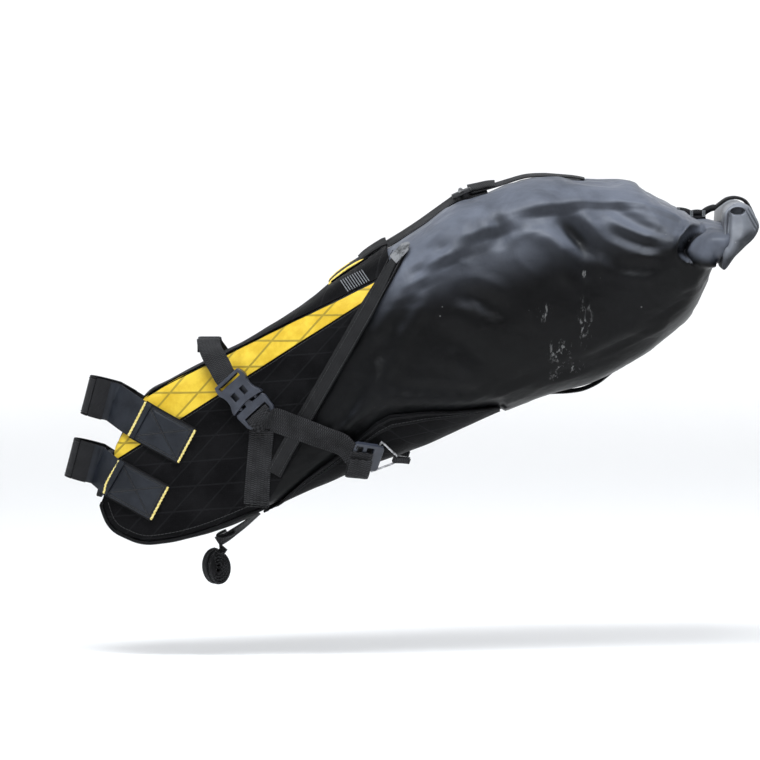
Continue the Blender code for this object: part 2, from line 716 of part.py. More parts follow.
def ring_line():
    """Where the ring's base bar lies along the ladder buckle."""
    return LADDER_SIZE[0] / 2.0 - 0.0042


def build_ring(name):
    """The wire ring between the ladder buckle and its tab."""
    matrix = ladder_matrix(LADDER_LIFT)
    start = ring_line()
    base, apex = RING_BASE / 2.0 + 0.0035, RING_APEX / 2.0 + 0.0015
    corners = [(start, base), (start + RING_LENGTH, apex), (start + RING_LENGTH, -apex), (start, -base)]
    path = []
    for index, corner in enumerate(corners):
        before = Vector(corners[index - 1])
        after = Vector(corners[(index + 1) % 4])
        here = Vector(corner)
        for neighbour, weight in ((before, 1.0), (here, 0.0), (after, 1.0)):
            offset = (neighbour - here).normalized() * 0.0022 * weight
            point = here + offset
            if weight == 0.0:
                point = here + ((before - here).normalized() + (after - here).normalized()) * 0.0006
            path.append(matrix @ Vector((point.x, point.y, 0.0005)))
    bm = bmesh.new()
    add_tube(bm, path, WIRE_RADIUS, 8, closed=True)
    return make_object(name, bm, "steel_wire", matrix @ Vector((start + RING_LENGTH, 0.0, 0.0005)))


def build_ring_tab(name):
    """The folded tab sewn to the guard, closed round the ring's short bar."""
    matrix = ladder_matrix(LADDER_LIFT)
    hook = ring_line() + RING_LENGTH
    clear = WIRE_RADIUS + 0.0004
    path = []
    for k in range(7):
        angle = math.radians(100.0 + 160.0 * k / 6.0)
        path.append((hook + (clear + 0.0006) * math.cos(angle), 0.0005 + (clear + 0.0006) * math.sin(angle)))
    path = [(hook + 0.0135, 0.0005)] + [(hook + 0.0045, 0.0012)] + path + [(hook + 0.0045, -0.0014)]
    path.append((hook + 0.0135, -0.0012))
    points = [matrix @ Vector((a, 0.0, c)) for a, c in path]
    across = matrix.to_3x3() @ Vector((0.0, 1.0, 0.0))
    return sweep(name, points, across, 0.0052, 0.0010, "webbing")


def build_strap_tail(name):
    """The spare end of the lower strap, folded into a loop below the ladder buckle."""
    matrix = ladder_matrix(LADDER_LIFT)
    height = LADDER_SIZE[2]
    route = [(-0.0085, 0.0, height + 0.0014), (0.0015, -0.004, height + 0.0016),
             (0.0040, -0.014, height + 0.0022), (0.0020, -0.0235, height + 0.0012),
             (-0.0030, -0.0270, height - 0.0010)]
    points = [matrix @ Vector(p) for p in smooth_path(route, 8)]
    across = matrix.to_3x3() @ Vector((1.0, 0.1, 0.0))
    return sweep(name, points, across, 0.0200, WEBBING, "webbing")


# ---------------------------------------------------------------- top strap and roll-top
def outline_point(x, lift, edge):
    """A point outside the bag's middle at x, above its high edge (2) or below its low edge (0)."""
    low_u, high_u = 0.0, len(STATIONS) - 1.0
    for _ in range(30):
        u = (low_u + high_u) / 2.0
        if section(u)[edge] > x:
            high_u = u
        else:
            low_u = u
    before, after = section(u - 0.1), section(u + 0.1)
    tangent = Vector((after[edge] - before[edge], 0.0, after[edge + 1] - before[edge + 1])).normalized()
    normal = Vector((-tangent.z, 0.0, tangent.x)) * (edge - 1)
    return Vector((x, 0.0, section(u)[edge + 1])) + normal * lift


def top_point(x, lift):
    return outline_point(x, lift, 2)


def build_top_strap():
    across = Vector((0.0, 1.0, 0.0))
    front = [top_point(x, LAYER + 0.0014) for x in (0.262, 0.282, 0.302, 0.322, 0.343)]
    sweep("top_strap_front", front, across, 0.020, WEBBING, "webbing")
    rear = [top_point(0.368, 0.0034), top_point(0.385, 0.0034), top_point(0.400, 0.0060),
            top_point(0.416, 0.0084), top_point(0.432, 0.0060), top_point(0.448, 0.0030),
            top_point(0.464, 0.0022), top_point(0.474, 0.0016)]
    sweep("top_strap_rear", rear, across, 0.020, WEBBING, "webbing")
    anchor = [top_point(x, SKIN + 0.0014) for x in (0.224, 0.234, 0.244, 0.258)]
    sweep("top_strap_anchor", anchor, across, 0.026, 0.0020, "webbing")


def build_top_buckle():
    """The small ladder buckle that joins the two halves of the top strap."""
    start, end = top_point(0.345, 0.0046), top_point(0.366, 0.0046)
    along = (end - start).normalized()
    across = Vector((0.0, -1.0, 0.0))
    outward = along.cross(across).normalized()
    if outward.z < 0.0:
        outward.negate()
    matrix = Matrix((along, outward.cross(along), outward)).transposed().to_4x4()
    matrix.translation = (start + end) / 2.0
    bm = bmesh.new()
    add_prism(bm, rounded(-0.0100, 0.0100, -0.0135, 0.0135, 0.0025, 2), 0.0, 0.0044, matrix)
    item = make_object("top_buckle", bm, "black_plastic")
    cut(item, [rectangle(-0.0075, -0.0030, -0.0105, 0.0105), rectangle(0.0010, 0.0060, -0.0105, 0.0105)],
        -0.01, 0.02, matrix)
    move_origin(item, matrix @ Vector((0.0090, 0.0, 0.0)))
    return item


def build_daisy_chain():
    """Webbing with sewn loops on the bag's top, just in front of the roll."""
    xs = [0.540 + 0.0115 * k for k in range(4)]
    path = [top_point(x, 0.0018) for x in xs]
    return sweep("daisy_chain", path, Vector((0.0, 1.0, 0.0)), 0.022, 0.0018, "webbing")


def build_underside_loop():
    """The small webbing loop under the bag near its rear."""
    rise = ((0.4440, 0.0018), (0.4560, 0.0064), (0.4710, 0.0092), (0.4860, 0.0070), (0.4990, 0.0020))
    path = [outline_point(x, lift, 0) for x, lift in rise]
    return sweep("underside_loop", path, Vector((0.0, 1.0, 0.0)), 0.016, WEBBING, "webbing")


def roll_matrix():
    """Frame of the roll: a across its thin side, b up its long side, c along the roll (+Y)."""
    thin = Vector((math.cos(ROLL_LEAN), 0.0, -math.sin(ROLL_LEAN)))
    tall = Vector((math.sin(ROLL_LEAN), 0.0, math.cos(ROLL_LEAN)))
    matrix = Matrix((thin, tall, Vector((0.0, 1.0, 0.0)))).transposed().to_4x4()
    matrix.translation = Vector((ROLL_CENTRE[0], 0.0, ROLL_CENTRE[1]))
    return matrix


def roll_point(turn, inward):
    """A point of the rolled sheet: turn counts revolutions from the outer edge."""
    angle = 2.0 * math.pi * turn
    shrink = ROLL_PITCH * turn + inward
    half_thin = ROLL_SIZE[0] / 2.0 - shrink
    half_tall = ROLL_SIZE[1] / 2.0 - shrink
    return (half_thin * math.copysign(abs(math.cos(angle)) ** 0.85, math.cos(angle)),
            half_tall * math.copysign(abs(math.sin(angle)) ** 0.85, math.sin(angle)))


def build_roll_top():
    """The rolled mouth: a sheet wound round its stiffener strip."""
    pivot = Vector((ROLL_PIVOT[0], 0.0, ROLL_PIVOT[1]))
    matrix = roll_matrix()
    turns, steps = 1.6, 40
    outer = [roll_point(0.02 + turns * k / steps, 0.0) for k in range(steps + 1)]
    inner = [roll_point(0.02 + turns * k / steps, ROLL_SHEET) for k in range(steps + 1)]
    bm = bmesh.new()
    grids = []
    for line in (inner, outer):
        rows = []
        for a, b in line:
            rows.append([matrix @ Vector((a, b, ROLL_WIDTH * (k / 4.0 - 0.5))) for k in range(5)])
        grids.append(rows)
    add_grid_solid(bm, grids[0], grids[1])
    make_object("roll_top", bm, "coated_fabric", pivot)
    bm = bmesh.new()
    add_prism(bm, rectangle(-0.0010, 0.0010, -0.0130, 0.0130), -ROLL_WIDTH / 2.0 + 0.002,
              ROLL_WIDTH / 2.0 - 0.002, matrix)
    make_object("roll_stiffener", bm, "stiffener", pivot)


def build_roll_strap():
    """The daisy chain's far end, over the top of the roll."""
    pivot = Vector((ROLL_PIVOT[0], 0.0, ROLL_PIVOT[1]))
    matrix = roll_matrix()
    path = []
    for degrees in (118, 100, 84, 66, 46, 26, 8):
        angle = math.radians(degrees)
        a = (ROLL_SIZE[0] / 2.0 + 0.0022) * math.copysign(abs(math.cos(angle)) ** 0.85, math.cos(angle))
        b = (ROLL_SIZE[1] / 2.0 + 0.0022) * math.copysign(abs(math.sin(angle)) ** 0.85, math.sin(angle))
        path.append(matrix @ Vector((a, b, 0.0)))
    return sweep("roll_strap", path, Vector((0.0, 1.0, 0.0)), 0.022, 0.0018, "webbing", pivot)


def build_belly_strap():
    """The strap under the holster, with the folded end that its tail hangs from."""
    route = [(0.1475, -0.0495), (0.1400, -0.0560), (0.1310, -0.0625), (0.1215, -0.0690), (0.1120, -0.0740)]
    points = [Vector((x, -0.004, z)) for x, z in smooth_path([Vector(p) for p in route], 7)]
    return sweep("belly_strap", points, Vector((0.0, 1.0, 0.0)), 0.020, WEBBING, "webbing")


def build_hanging_tail():
    """The rolled spare end below the belly strap, and the elastic that keeps it rolled."""
    pivot = Vector((TAIL_PIVOT[0], -0.004, TAIL_PIVOT[1]))
    centre = Vector((0.1115, -0.004, -0.0990))
    spiral = []
    for k in range(30):
        turn = k / 11.0
        radius = 0.0135 - 0.0031 * turn
        angle = math.radians(75.0) + 2.0 * math.pi * turn
        offset = Vector((0.72 * math.cos(angle), 0.0, 1.12 * math.sin(angle)))
        spiral.append(centre + offset * radius)
    neck = [pivot + Vector((0.0006, 0.0, 0.0)), pivot + Vector((-0.0008, 0.0, -0.0028))]
    sweep("strap_tail_roll", neck + spiral, Vector((0.0, 1.0, 0.0)), 0.020, 0.0013, "webbing", pivot)
    bm = bmesh.new()
    inner, outer = [], []
    for k in range(17):
        angle = math.radians(98.0 + 314.0 * k / 16.0)
        direction = Vector((math.cos(angle), 0.0, math.sin(angle)))
        here = centre + Vector((-0.0002, 0.0, -0.0010))
        ring = [Vector((0.72 * 0.0166 * direction.x, 0.0, 1.10 * 0.0166 * direction.z)),
                Vector((0.72 * 0.0182 * direction.x, 0.0, 1.10 * 0.0178 * direction.z))]
        inner.append([here + ring[0] + Vector((0.0, y, 0.0)) for y in (-0.005, 0.005)])
        outer.append([here + ring[1] + Vector((0.0, y, 0.0)) for y in (-0.005, 0.005)])
    add_grid_solid(bm, inner, outer)
    make_object("tail_keeper", bm, "hook_tape", pivot)


# ---------------------------------------------------------------- assembly
def build_all():
    clear_scene()
    build_dry_bag()
    build_front_panel()
    build_front_pad()
    build_top_panel()
    build_base_panel()
    build_bottom_guard()
    for stem, build in (("side_panel", build_side_panel), ("top_trim", build_top_trim),
                        ("rear_binding", build_rear_binding), ("piping", build_piping),
                        ("side_webbing", build_side_webbing), ("rail_strap", build_rail_strap),
                        ("buckle_female", build_buckle_female), ("buckle_male", build_buckle_male),
                        ("lower_strap", build_lower_strap), ("ladderlock", build_ladderlock),
                        ("ring", build_ring), ("ring_tab", build_ring_tab),
                        ("strap_tail", build_strap_tail)):
        make_pair(build, stem)
    for level in PATCHES:
        make_pair(lambda name: build_patch(name, level), "strap_patch_" + level)
    for place, sign in (("upper", -1.0), ("lower", 1.0)):
        make_pair(lambda name: build_prong(name, sign), "prong_" + place)
    build_post_straps()
    build_top_strap()
    build_top_buckle()
    build_daisy_chain()
    build_underside_loop()
    build_roll_top()
    build_roll_strap()
    build_belly_strap()
    build_hanging_tail()


build_all()
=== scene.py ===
"""Looks of a roll-top seat pack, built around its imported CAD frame.

Metres, +Z up, in the frame's own axes: +X rearwards along the bicycle, -Y its left side.
"""
import math
import random

import bmesh
import bpy
import numpy as np
from mathutils import Matrix, Vector, noise


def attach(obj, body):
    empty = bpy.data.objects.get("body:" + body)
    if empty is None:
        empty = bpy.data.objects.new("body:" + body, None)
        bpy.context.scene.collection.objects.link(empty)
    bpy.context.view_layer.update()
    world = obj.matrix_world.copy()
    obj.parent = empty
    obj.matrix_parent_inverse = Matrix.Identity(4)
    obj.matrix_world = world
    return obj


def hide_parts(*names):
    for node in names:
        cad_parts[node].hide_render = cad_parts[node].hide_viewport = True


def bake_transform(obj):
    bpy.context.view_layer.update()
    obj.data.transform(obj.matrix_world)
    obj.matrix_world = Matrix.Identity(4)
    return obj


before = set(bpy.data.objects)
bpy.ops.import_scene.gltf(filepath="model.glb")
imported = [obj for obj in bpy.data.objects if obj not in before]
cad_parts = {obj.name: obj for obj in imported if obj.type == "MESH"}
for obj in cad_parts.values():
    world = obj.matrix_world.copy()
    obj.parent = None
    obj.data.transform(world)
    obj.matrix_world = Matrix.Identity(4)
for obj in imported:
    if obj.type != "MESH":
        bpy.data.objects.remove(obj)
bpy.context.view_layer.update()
SIDES = ((-1.0, "left"), (1.0, "right"))

# ---------------------------------------------------------------- driving values
# Sections of the stuffed bag, as the CAD source has them: low edge (x, z), high edge (x, z),
# half width and squareness. The rows after BAG_END are the neck that runs into the roll.
STATIONS = np.array([
    (-0.0010, -0.0400, 0.0145, 0.0220, 0.0240, 7.0),
    (0.0060, -0.0560, 0.0240, 0.0420, 0.0265, 7.0),
    (0.0200, -0.0680, 0.0420, 0.0715, 0.0300, 6.5),
    (0.0470, -0.0755, 0.0650, 0.0850, 0.0350, 6.0),
    (0.0960, -0.0665, 0.1020, 0.1040, 0.0430, 5.5),
    (0.1500, -0.0455, 0.1500, 0.1290, 0.0530, 5.0),
    (0.2050, -0.0205, 0.1980, 0.1600, 0.0630, 4.4),
    (0.2550, 0.0010, 0.2320, 0.1860, 0.0710, 3.8),
    (0.3000, 0.0165, 0.2640, 0.2070, 0.0765, 3.2),
    (0.3460, 0.0370, 0.3040, 0.2340, 0.0805, 2.8),
    (0.3930, 0.0570, 0.3460, 0.2600, 0.0825, 2.5),
    (0.4400, 0.0740, 0.3910, 0.2765, 0.0830, 2.4),
    (0.4830, 0.0870, 0.4380, 0.2845, 0.0815, 2.4),
    (0.5210, 0.1070, 0.4840, 0.2840, 0.0800, 2.4),
    (0.5530, 0.1290, 0.5200, 0.2795, 0.0835, 2.4),
    (0.5770, 0.1520, 0.5500, 0.2655, 0.0895, 2.3),
    (0.5895, 0.1750, 0.5740, 0.2535, 0.0970, 2.2),
    (0.5985, 0.1960, 0.5890, 0.2500, 0.1050, 2.2),
    (0.6060, 0.2040, 0.6060, 0.2440, 0.1080, 2.4),
    (0.6130, 0.2170, 0.6130, 0.2400, 0.1050, 2.6),
])
BAG_END = 17.0
LAST = len(STATIONS) - 1
HOLSTER_END = 11.0
BAG_INSET = 0.0022
SKIN = 0.0014
LAYER = 0.0024
WEBBING = 0.0016
SEAM = 0.0006

# Borders of the side skins, as (x, z) seen from the side.
TRIM_LOW = [(0.0055, 0.0035), (0.2640, 0.1705)]
TRIM_HIGH = [(0.0135, 0.0200), (0.0400, 0.0670), (0.0600, 0.0790), (0.2700, 0.1850)]
SIDE_LOW = [(-0.0010, -0.0330), (0.0070, -0.0540), (0.0210, -0.0650), (0.0470, -0.0715),
            (0.0960, -0.0615), (0.1500, -0.0390), (0.1620, -0.0335)]
SIDE_HIGH = [(0.0054, 0.0019), (0.2654, 0.1690), (0.2720, 0.1860), (0.2990, 0.2130)]
REAR_EDGE = [(0.1620, -0.0335), (0.2990, 0.2130)]
GUARD_EDGE = [(0.1660, -0.0400), (0.1989, -0.0097), (0.2260, 0.0116), (0.2580, 0.0388),
              (0.2697, 0.0490), (0.2823, 0.0560), (0.3162, 0.0592), (0.3502, 0.0592),
              (0.3938, 0.0620)]

POST_LEAN = math.radians(14.5)
POST_RADIUS = 0.0155
STRAP_HEIGHT = 0.038
STRAP_THICKNESS = 0.0018
POST_STRAPS = {"upper": 0.0648, "lower": 0.0010}
PATCH_TILT = math.radians(28.0)
PATCHES = {"upper": (0.0325, 0.0500), "lower": (0.0056, -0.0063)}
PATCH_LENGTH = 0.0540
PATCH_THICKNESS = 0.0018
ROOT_LIFT = 0.0057

BUCKLE_TOP = (0.1242, 0.0902)
BUCKLE_END = (0.1610, 0.0504)
FEMALE_LENGTH = 0.0330
BUCKLE_LIFT = 0.0062
LOWER_STRAP = [(0.1560, 0.0545), (0.2450, 0.0245)]
LADDER_CENTRE = (0.2570, 0.0205)
LADDER_LENGTH = 0.0300
LADDER_HEIGHT = 0.0052
LADDER_LIFT = 0.0086
RING_LENGTH = 0.0200
ROLL_HALF = 0.1135


# ---------------------------------------------------------------- the bag's surface
def smooth(low, high, value):
    """Smoothstep from 0 at low to 1 at high."""
    t = np.clip((value - low) / (high - low), 0.0, 1.0)
    return t * t * (3.0 - 2.0 * t)


def section(u):
    """Station rows at the station numbers u, smoothly interpolated."""
    u = np.clip(np.asarray(u, float), 0.0, LAST)
    first = np.minimum(u.astype(int), LAST - 1)
    t = (u - first)[..., None]
    before, start, end, after = (STATIONS[np.clip(first + k, 0, LAST)] for k in (-1, 0, 1, 2))
    return ((2 * t ** 3 - 3 * t ** 2 + 1) * start + (t ** 3 - 2 * t ** 2 + t) * (end - before) / 2.0
            + (3 * t ** 2 - 2 * t ** 3) * end + (t ** 3 - t ** 2) * (after - start) / 2.0)


def signed_power(value, power):
    return np.sign(value) * np.abs(value) ** power


def ring_points(u, angle, inset=0.0):
    """Points of the sections: angle 0 is the right side, 90 degrees the top, 180 the left."""
    rows = section(u)
    low, high = rows[..., 0:2], rows[..., 2:4]
    half, power = rows[..., 4], rows[..., 5]
    reach = (high - low) / 2.0
    length = np.linalg.norm(reach, axis=-1)
    reach = reach * (1.0 - inset / length)[..., None]
    across = (half - inset) * signed_power(np.cos(angle), 2.0 / power)
    rise = signed_power(np.sin(angle), 2.0 / power)
    xz = (low + high) / 2.0 + reach * rise[..., None]
    return np.stack([xz[..., 0], across, xz[..., 1]], axis=-1)


def unit(vectors):
    return vectors / np.maximum(np.linalg.norm(vectors, axis=-1, keepdims=True), 1e-12)


def ring_frames(u, angle):
    """Points and outward normals of the bag's surface."""
    points = ring_points(u, angle)
    along = ring_points(u + 0.05, angle) - ring_points(u - 0.05, angle)
    around = ring_points(u, angle + 0.02) - ring_points(u, angle - 0.02)
    normals = unit(np.cross(around, along))
    rows = section(u)
    middle = np.stack([(rows[..., 0] + rows[..., 2]) / 2.0, 0.0 * rows[..., 0],
                       (rows[..., 1] + rows[..., 3]) / 2.0], axis=-1)
    facing = np.sign(np.sum(normals * (points - middle), axis=-1, keepdims=True))
    return points, normals * facing


def locate(xz):
    """Station numbers and rises (-1 low edge to +1 high edge) of points seen from the side."""
    x, z = xz[..., 0], xz[..., 1]
    low_u, high_u = np.zeros(x.shape), np.full(x.shape, float(LAST))
    for _ in range(30):
        u = (low_u + high_u) / 2.0
        rows = section(u)
        beyond = ((rows[..., 2] - rows[..., 0]) * (z - rows[..., 1])
                  - (rows[..., 3] - rows[..., 1]) * (x - rows[..., 0])) > 0.0
        high_u = np.where(beyond, u, high_u)
        low_u = np.where(beyond, low_u, u)
    reach = rows[..., 2:4] - rows[..., 0:2]
    rise = 2.0 * np.sum((xz - rows[..., 0:2]) * reach, -1) / np.sum(reach ** 2, -1) - 1.0
    return u, np.clip(rise, -0.995, 0.995)


def side_angles(u, rise):
    """Ring angles of rises on the left side."""
    return math.pi - np.arcsin(signed_power(rise, section(u)[..., 5] / 2.0))


def noise_field(points, scale, seed=0.0, stretch=(1.0, 1.0, 1.0)):
    """Smooth noise at each point; scale is in features per metre."""
    flat = (points * np.array(stretch) * scale + seed).reshape(-1, 3)
    values = [noise.noise(Vector(p)) for p in flat]
    return np.array(values).reshape(points.shape[:-1])


def panel_relief(points):
    """How far the sewn skins stand off the plain surface: slack between their seams."""
    return (0.0011 * noise_field(points, 21.0, 3.0) + 0.0005 * noise_field(points, 55.0, 9.0, (1, 1, 0.6)))


def side_frames(xz, side=-1.0):
    """Points and normals on one side, seen from the side at (x, z), with the skins' slack."""
    u, rise = locate(np.asarray(xz, float))
    points, normals = ring_frames(u, side_angles(u, rise))
    points[..., 1] *= -side
    normals[..., 1] *= -side
    return points + normals * panel_relief(points)[..., None], normals


def edge_rise(u, border):
    """Rise at which the section at u crosses a border given as (x, z) points."""
    rows = section(u)
    low, reach = rows[0:2], rows[2:4] - rows[0:2]
    normal = np.array([-reach[1], reach[0]])
    border = np.array(border)
    heights = (border - low) @ normal
    crossing = border[np.argmin(np.abs(heights))]
    for start, end, a, b in zip(border[:-1], border[1:], heights[:-1], heights[1:]):
        if a * b <= 0.0 and a != b:
            crossing = start + (end - start) * a / (a - b)
            break
    return 2.0 * ((crossing - low) @ reach) / (reach @ reach) - 1.0


# ---------------------------------------------------------------- curves
def resample(points, count):
    """The polyline as count points, evenly spaced along it."""
    points = np.asarray(points, float)
    lengths = np.concatenate([[0.0], np.cumsum(np.linalg.norm(np.diff(points, axis=0), axis=1))])
    wanted = np.linspace(0.0, lengths[-1], count)
    return np.stack([np.interp(wanted, lengths, points[:, k]) for k in range(points.shape[1])], -1)


def curve(points, count, closed=False):
    """Evenly timed points on a Catmull-Rom curve through the given points."""
    points = np.asarray(points, float)
    total = len(points)
    spans = total if closed else total - 1
    t = np.linspace(0.0, spans, count, endpoint=not closed)
    first = np.minimum(t.astype(int), spans - 1)
    t = (t - first)[:, None]
    if closed:
        p0, p1, p2, p3 = (points[(first + k) % total] for k in (-1, 0, 1, 2))
    else:
        p0, p1, p2, p3 = (points[np.clip(first + k, 0, total - 1)] for k in (-1, 0, 1, 2))
    return 0.5 * (2 * p1 + (p2 - p0) * t + (2 * p0 - 5 * p1 + 4 * p2 - p3) * t ** 2
                  + (3 * p1 - p0 - 3 * p2 + p3) * t ** 3)


def segment_distance(points, start, end):
    """Distance of points from a straight segment."""
    share = np.clip((points - start) @ (end - start) / np.sum((end - start) ** 2), 0.0, 1.0)
    return np.linalg.norm(points - start - share[..., None] * (end - start), axis=-1)


def run_length(path):
    """Distance along a path at each of its points."""
    return np.concatenate([[0.0], np.cumsum(np.linalg.norm(np.diff(path, axis=0), axis=1))])


def tangents(path):
    return unit(np.gradient(path, axis=0))


# ---------------------------------------------------------------- materials
class Finish:
    """A Principled material built from short calls, each of which returns a socket."""

    def __init__(self, name, colour, roughness, **values):
        self.material = bpy.data.materials.new(name)
        self.material.use_nodes = True
        self.tree = self.material.node_tree
        self.shader = self.tree.nodes["Principled BSDF"]
        self.set("Base Color", (*colour, 1.0))
        self.set("Roughness", roughness)
        for key, value in values.items():
            self.set(key.replace("_", " "), value)
        self.height = None

    def set(self, name, value):
        if isinstance(value, bpy.types.NodeSocket):
            self.tree.links.new(value, self.shader.inputs[name])
        else:
            self.shader.inputs[name].default_value = value

    def node(self, kind, inputs, **settings):
        node = self.tree.nodes.new("ShaderNode" + kind)
        for name, value in settings.items():
            setattr(node, name, value)
        for key, value in inputs.items():
            if isinstance(value, bpy.types.NodeSocket):
                self.tree.links.new(value, node.inputs[key])
            else:
                node.inputs[key].default_value = value
        return node

    def place(self):
        """Where the point is on the object, in metres."""
        return self.node("TexCoord", {}).outputs["Object"]

    def cloth(self):
        """Distance along and across the cloth, in metres; on the dry bag the third value is the depth of
        painted shade in its dents.
        """
        return self.node("Attribute", {}, attribute_name="cloth").outputs["Vector"]

    def part(self, vector, axis):
        return self.node("SeparateXYZ", {"Vector": vector}).outputs[axis]

    def math(self, operation, a, b=0.0, c=0.0):
        return self.node("Math", {0: a, 1: b, 2: c}, operation=operation).outputs[0]

    def scaled(self, vector, factors):
        return self.node("VectorMath", {0: vector, 1: factors}, operation="MULTIPLY").outputs[0]

    def noise(self, vector, scale, detail=2.0, roughness=0.5, distortion=0.0):
        inputs = {"Vector": vector, "Scale": scale, "Detail": detail,
                  "Roughness": roughness, "Distortion": distortion}
        return self.node("TexNoise", inputs).outputs["Fac"]

    def ramp(self, value, low, high, start=0.0, end=1.0):
        """Smooth change from start to end while value goes from low to high."""
        inputs = {"Value": value, "From Min": low, "From Max": high, "To Min": start, "To Max": end}
        return self.node("MapRange", inputs, interpolation_type="SMOOTHSTEP").outputs["Result"]

    def mix(self, factor, first, second):
        """Colours mixed by factor."""
        inputs = {0: factor}
        for key, colour in ((6, first), (7, second)):
            inputs[key] = colour if isinstance(colour, bpy.types.NodeSocket) else (*colour, 1.0)
        return self.node("Mix", inputs, data_type="RGBA").outputs[2]

    def reach_from(self, vector, centre, reach):
        """Distance from a centre, counted in its reach along each axis."""
        offset = self.node("VectorMath", {0: vector, 1: centre}, operation="SUBTRACT").outputs[0]
        squeezed = self.scaled(offset, [1.0 / length for length in reach])
        return self.node("VectorMath", {0: squeezed}, operation="LENGTH").outputs["Value"]

    def lines(self, vector, direction, spacing, width):
        """1 on thin lines that cross the given direction at the given spacing."""
        along = self.node("VectorMath", {0: vector, 1: (*direction, 0.0)}, operation="DOT_PRODUCT")
        offset = self.math("PINGPONG", self.math("MULTIPLY", along.outputs["Value"], 1.0 / spacing), 0.5)
        return self.ramp(offset, 0.5 * width / spacing, 0.9 * width / spacing, 1.0, 0.0)

    def bump(self, height, distance):
        """Add a height map, in metres, over the ones before it."""
        inputs = {"Height": height, "Distance": distance, "Strength": 1.0}
        if self.height is not None:
            inputs["Normal"] = self.height
        self.height = self.node("Bump", inputs).outputs["Normal"]
        self.set("Normal", self.height)


# Scuffed spots on the left flank: centre (x, z), reach (x, z) and how dense the scuffs are.
SCUFFS = [((0.4720, 0.1460), (0.0095, 0.0300), 2.0), ((0.4425, 0.0930), (0.0070, 0.0070), 2.0),
          ((0.4480, 0.1170), (0.0170, 0.0150), 1.0), ((0.4560, 0.1020), (0.0230, 0.0090), 0.5),
          ((0.4330, 0.1560), (0.0100, 0.0120), 0.5), ((0.4730, 0.1930), (0.0060, 0.0050), 1.0)]
FLANK_Y = -0.080
# The end of the neck, painted paler as a painted highlight on its cone: centre and reach along each axis.
EAR_CENTRE = (0.5930, 0.0, 0.2240)
EAR_REACH = (0.0300, 1.0, 0.0190)
BAG_SLOPE = 0.274          # how steeply the bag's middle line climbs


def scuffs(f, place):
    """1 where the left flank is scuffed."""
    grazes = f.noise(f.scaled(place, (1.0, 1.0, 0.32)), 210.0, 4.0, 0.7, 0.5)
    worn = 0.0
    for (x, z), (wide, high), strength in SCUFFS:
        away = f.reach_from(place, (x, FLANK_Y, z), (wide, 0.1, high))
        grazed = f.ramp(grazes, 0.56 - 0.02 * strength, 0.64)
        worn = f.math("MAXIMUM", f.math("MULTIPLY", f.ramp(away, 1.0, 0.15), grazed), worn)
    return worn


def dust_and_painted_sheen(f, place, dust_and_sheen_range):
    """How much of the pale colour the cloth gets: settled dust and painted sheen, most on the bag's upper
    part and on what faces up, a painted highlight on the neck's end, and painted shade that keeps it out of
    the dents and the tuck.
    """
    # Painted sheen and dust: the pale colour goes on the bag's upper part and on what faces up.
    facing = f.part(f.node("NewGeometry", {}).outputs["Normal"], "Z")
    slope = f.math("MULTIPLY", f.part(place, "X"), BAG_SLOPE)
    height = f.math("SUBTRACT", f.part(place, "Z"), slope)
    upper = f.math("MULTIPLY", f.ramp(height, 0.030, 0.120), 0.42)
    upper = f.math("ADD", upper, f.math("MULTIPLY", f.ramp(facing, 0.0, 0.85), 0.58))
    # Painted highlight: the neck's end gets the pale colour within its reach of EAR_CENTRE.
    away = f.reach_from(f.scaled(place, (1.0, 0.0, 1.0)), EAR_CENTRE, EAR_REACH)
    upper = f.math("MAXIMUM", f.ramp(upper, *dust_and_sheen_range), f.ramp(away, 1.15, 0.55))
    patchy = f.noise(place, 17.0, 4.0, 0.6, 0.4)
    dust_and_sheen_share = f.math("MULTIPLY", upper, f.ramp(patchy, 0.30, 0.68, 0.55, 1.0))
    # Painted shade: the pale colour fades out where the cloth is dented or tucked.
    painted_dent_shade = f.part(f.cloth(), "Z")
    return f.math("MULTIPLY", dust_and_sheen_share, f.ramp(painted_dent_shade, 0.10, 0.95, 1.0, 0.10))


def coated_fabric(name, dust_and_sheen_colour, dust_and_sheen_range):
    """Urethane-coated cloth: a satin skin with fine creases, dust, a pale colour of dust and painted sheen on
    its upper side, painted shade in its dents and, on one flank, scuffs.
    """
    f = Finish(name, (0.005, 0.005, 0.006), 0.36, Specular_IOR_Level=0.12)
    place = f.place()
    cloudy = f.noise(place, 9.0, 4.0, 0.6)
    fine = f.noise(place, 160.0, 3.0, 0.6)
    worn = scuffs(f, place)
    specks = f.node("TexVoronoi", {"Vector": place, "Scale": 85.0}).outputs["Distance"]
    dust = f.math("MULTIPLY", f.ramp(specks, 0.10, 0.03), f.ramp(f.noise(place, 30.0), 0.56, 0.66))
    dust = f.math("MULTIPLY", dust, 0.35)
    colour = f.mix(f.ramp(cloudy, 0.35, 0.7), (0.0010, 0.0011, 0.0013), (0.0032, 0.0034, 0.0040))
    # The pale colour of settled dust and painted sheen, mixed over the cloth's own colour.
    colour = f.mix(dust_and_painted_sheen(f, place, dust_and_sheen_range), colour, dust_and_sheen_colour)
    pale = f.math("MAXIMUM", f.math("MULTIPLY", worn, 0.60), dust)
    f.set("Base Color", f.mix(pale, colour, (0.24, 0.24, 0.24)))
    rough = f.math("ADD", f.ramp(cloudy, 0.3, 0.7, 0.33, 0.44), f.math("MULTIPLY", worn, 0.25))
    f.set("Roughness", f.math("ADD", rough, f.math("MULTIPLY", fine, 0.05)))
    f.bump(f.noise(place, 30.0, 3.0, 0.45, 0.3), 0.0024)
    f.bump(f.noise(place, 85.0, 3.0, 0.5), 0.0004)
    f.bump(fine, 0.00010)
    return f.material


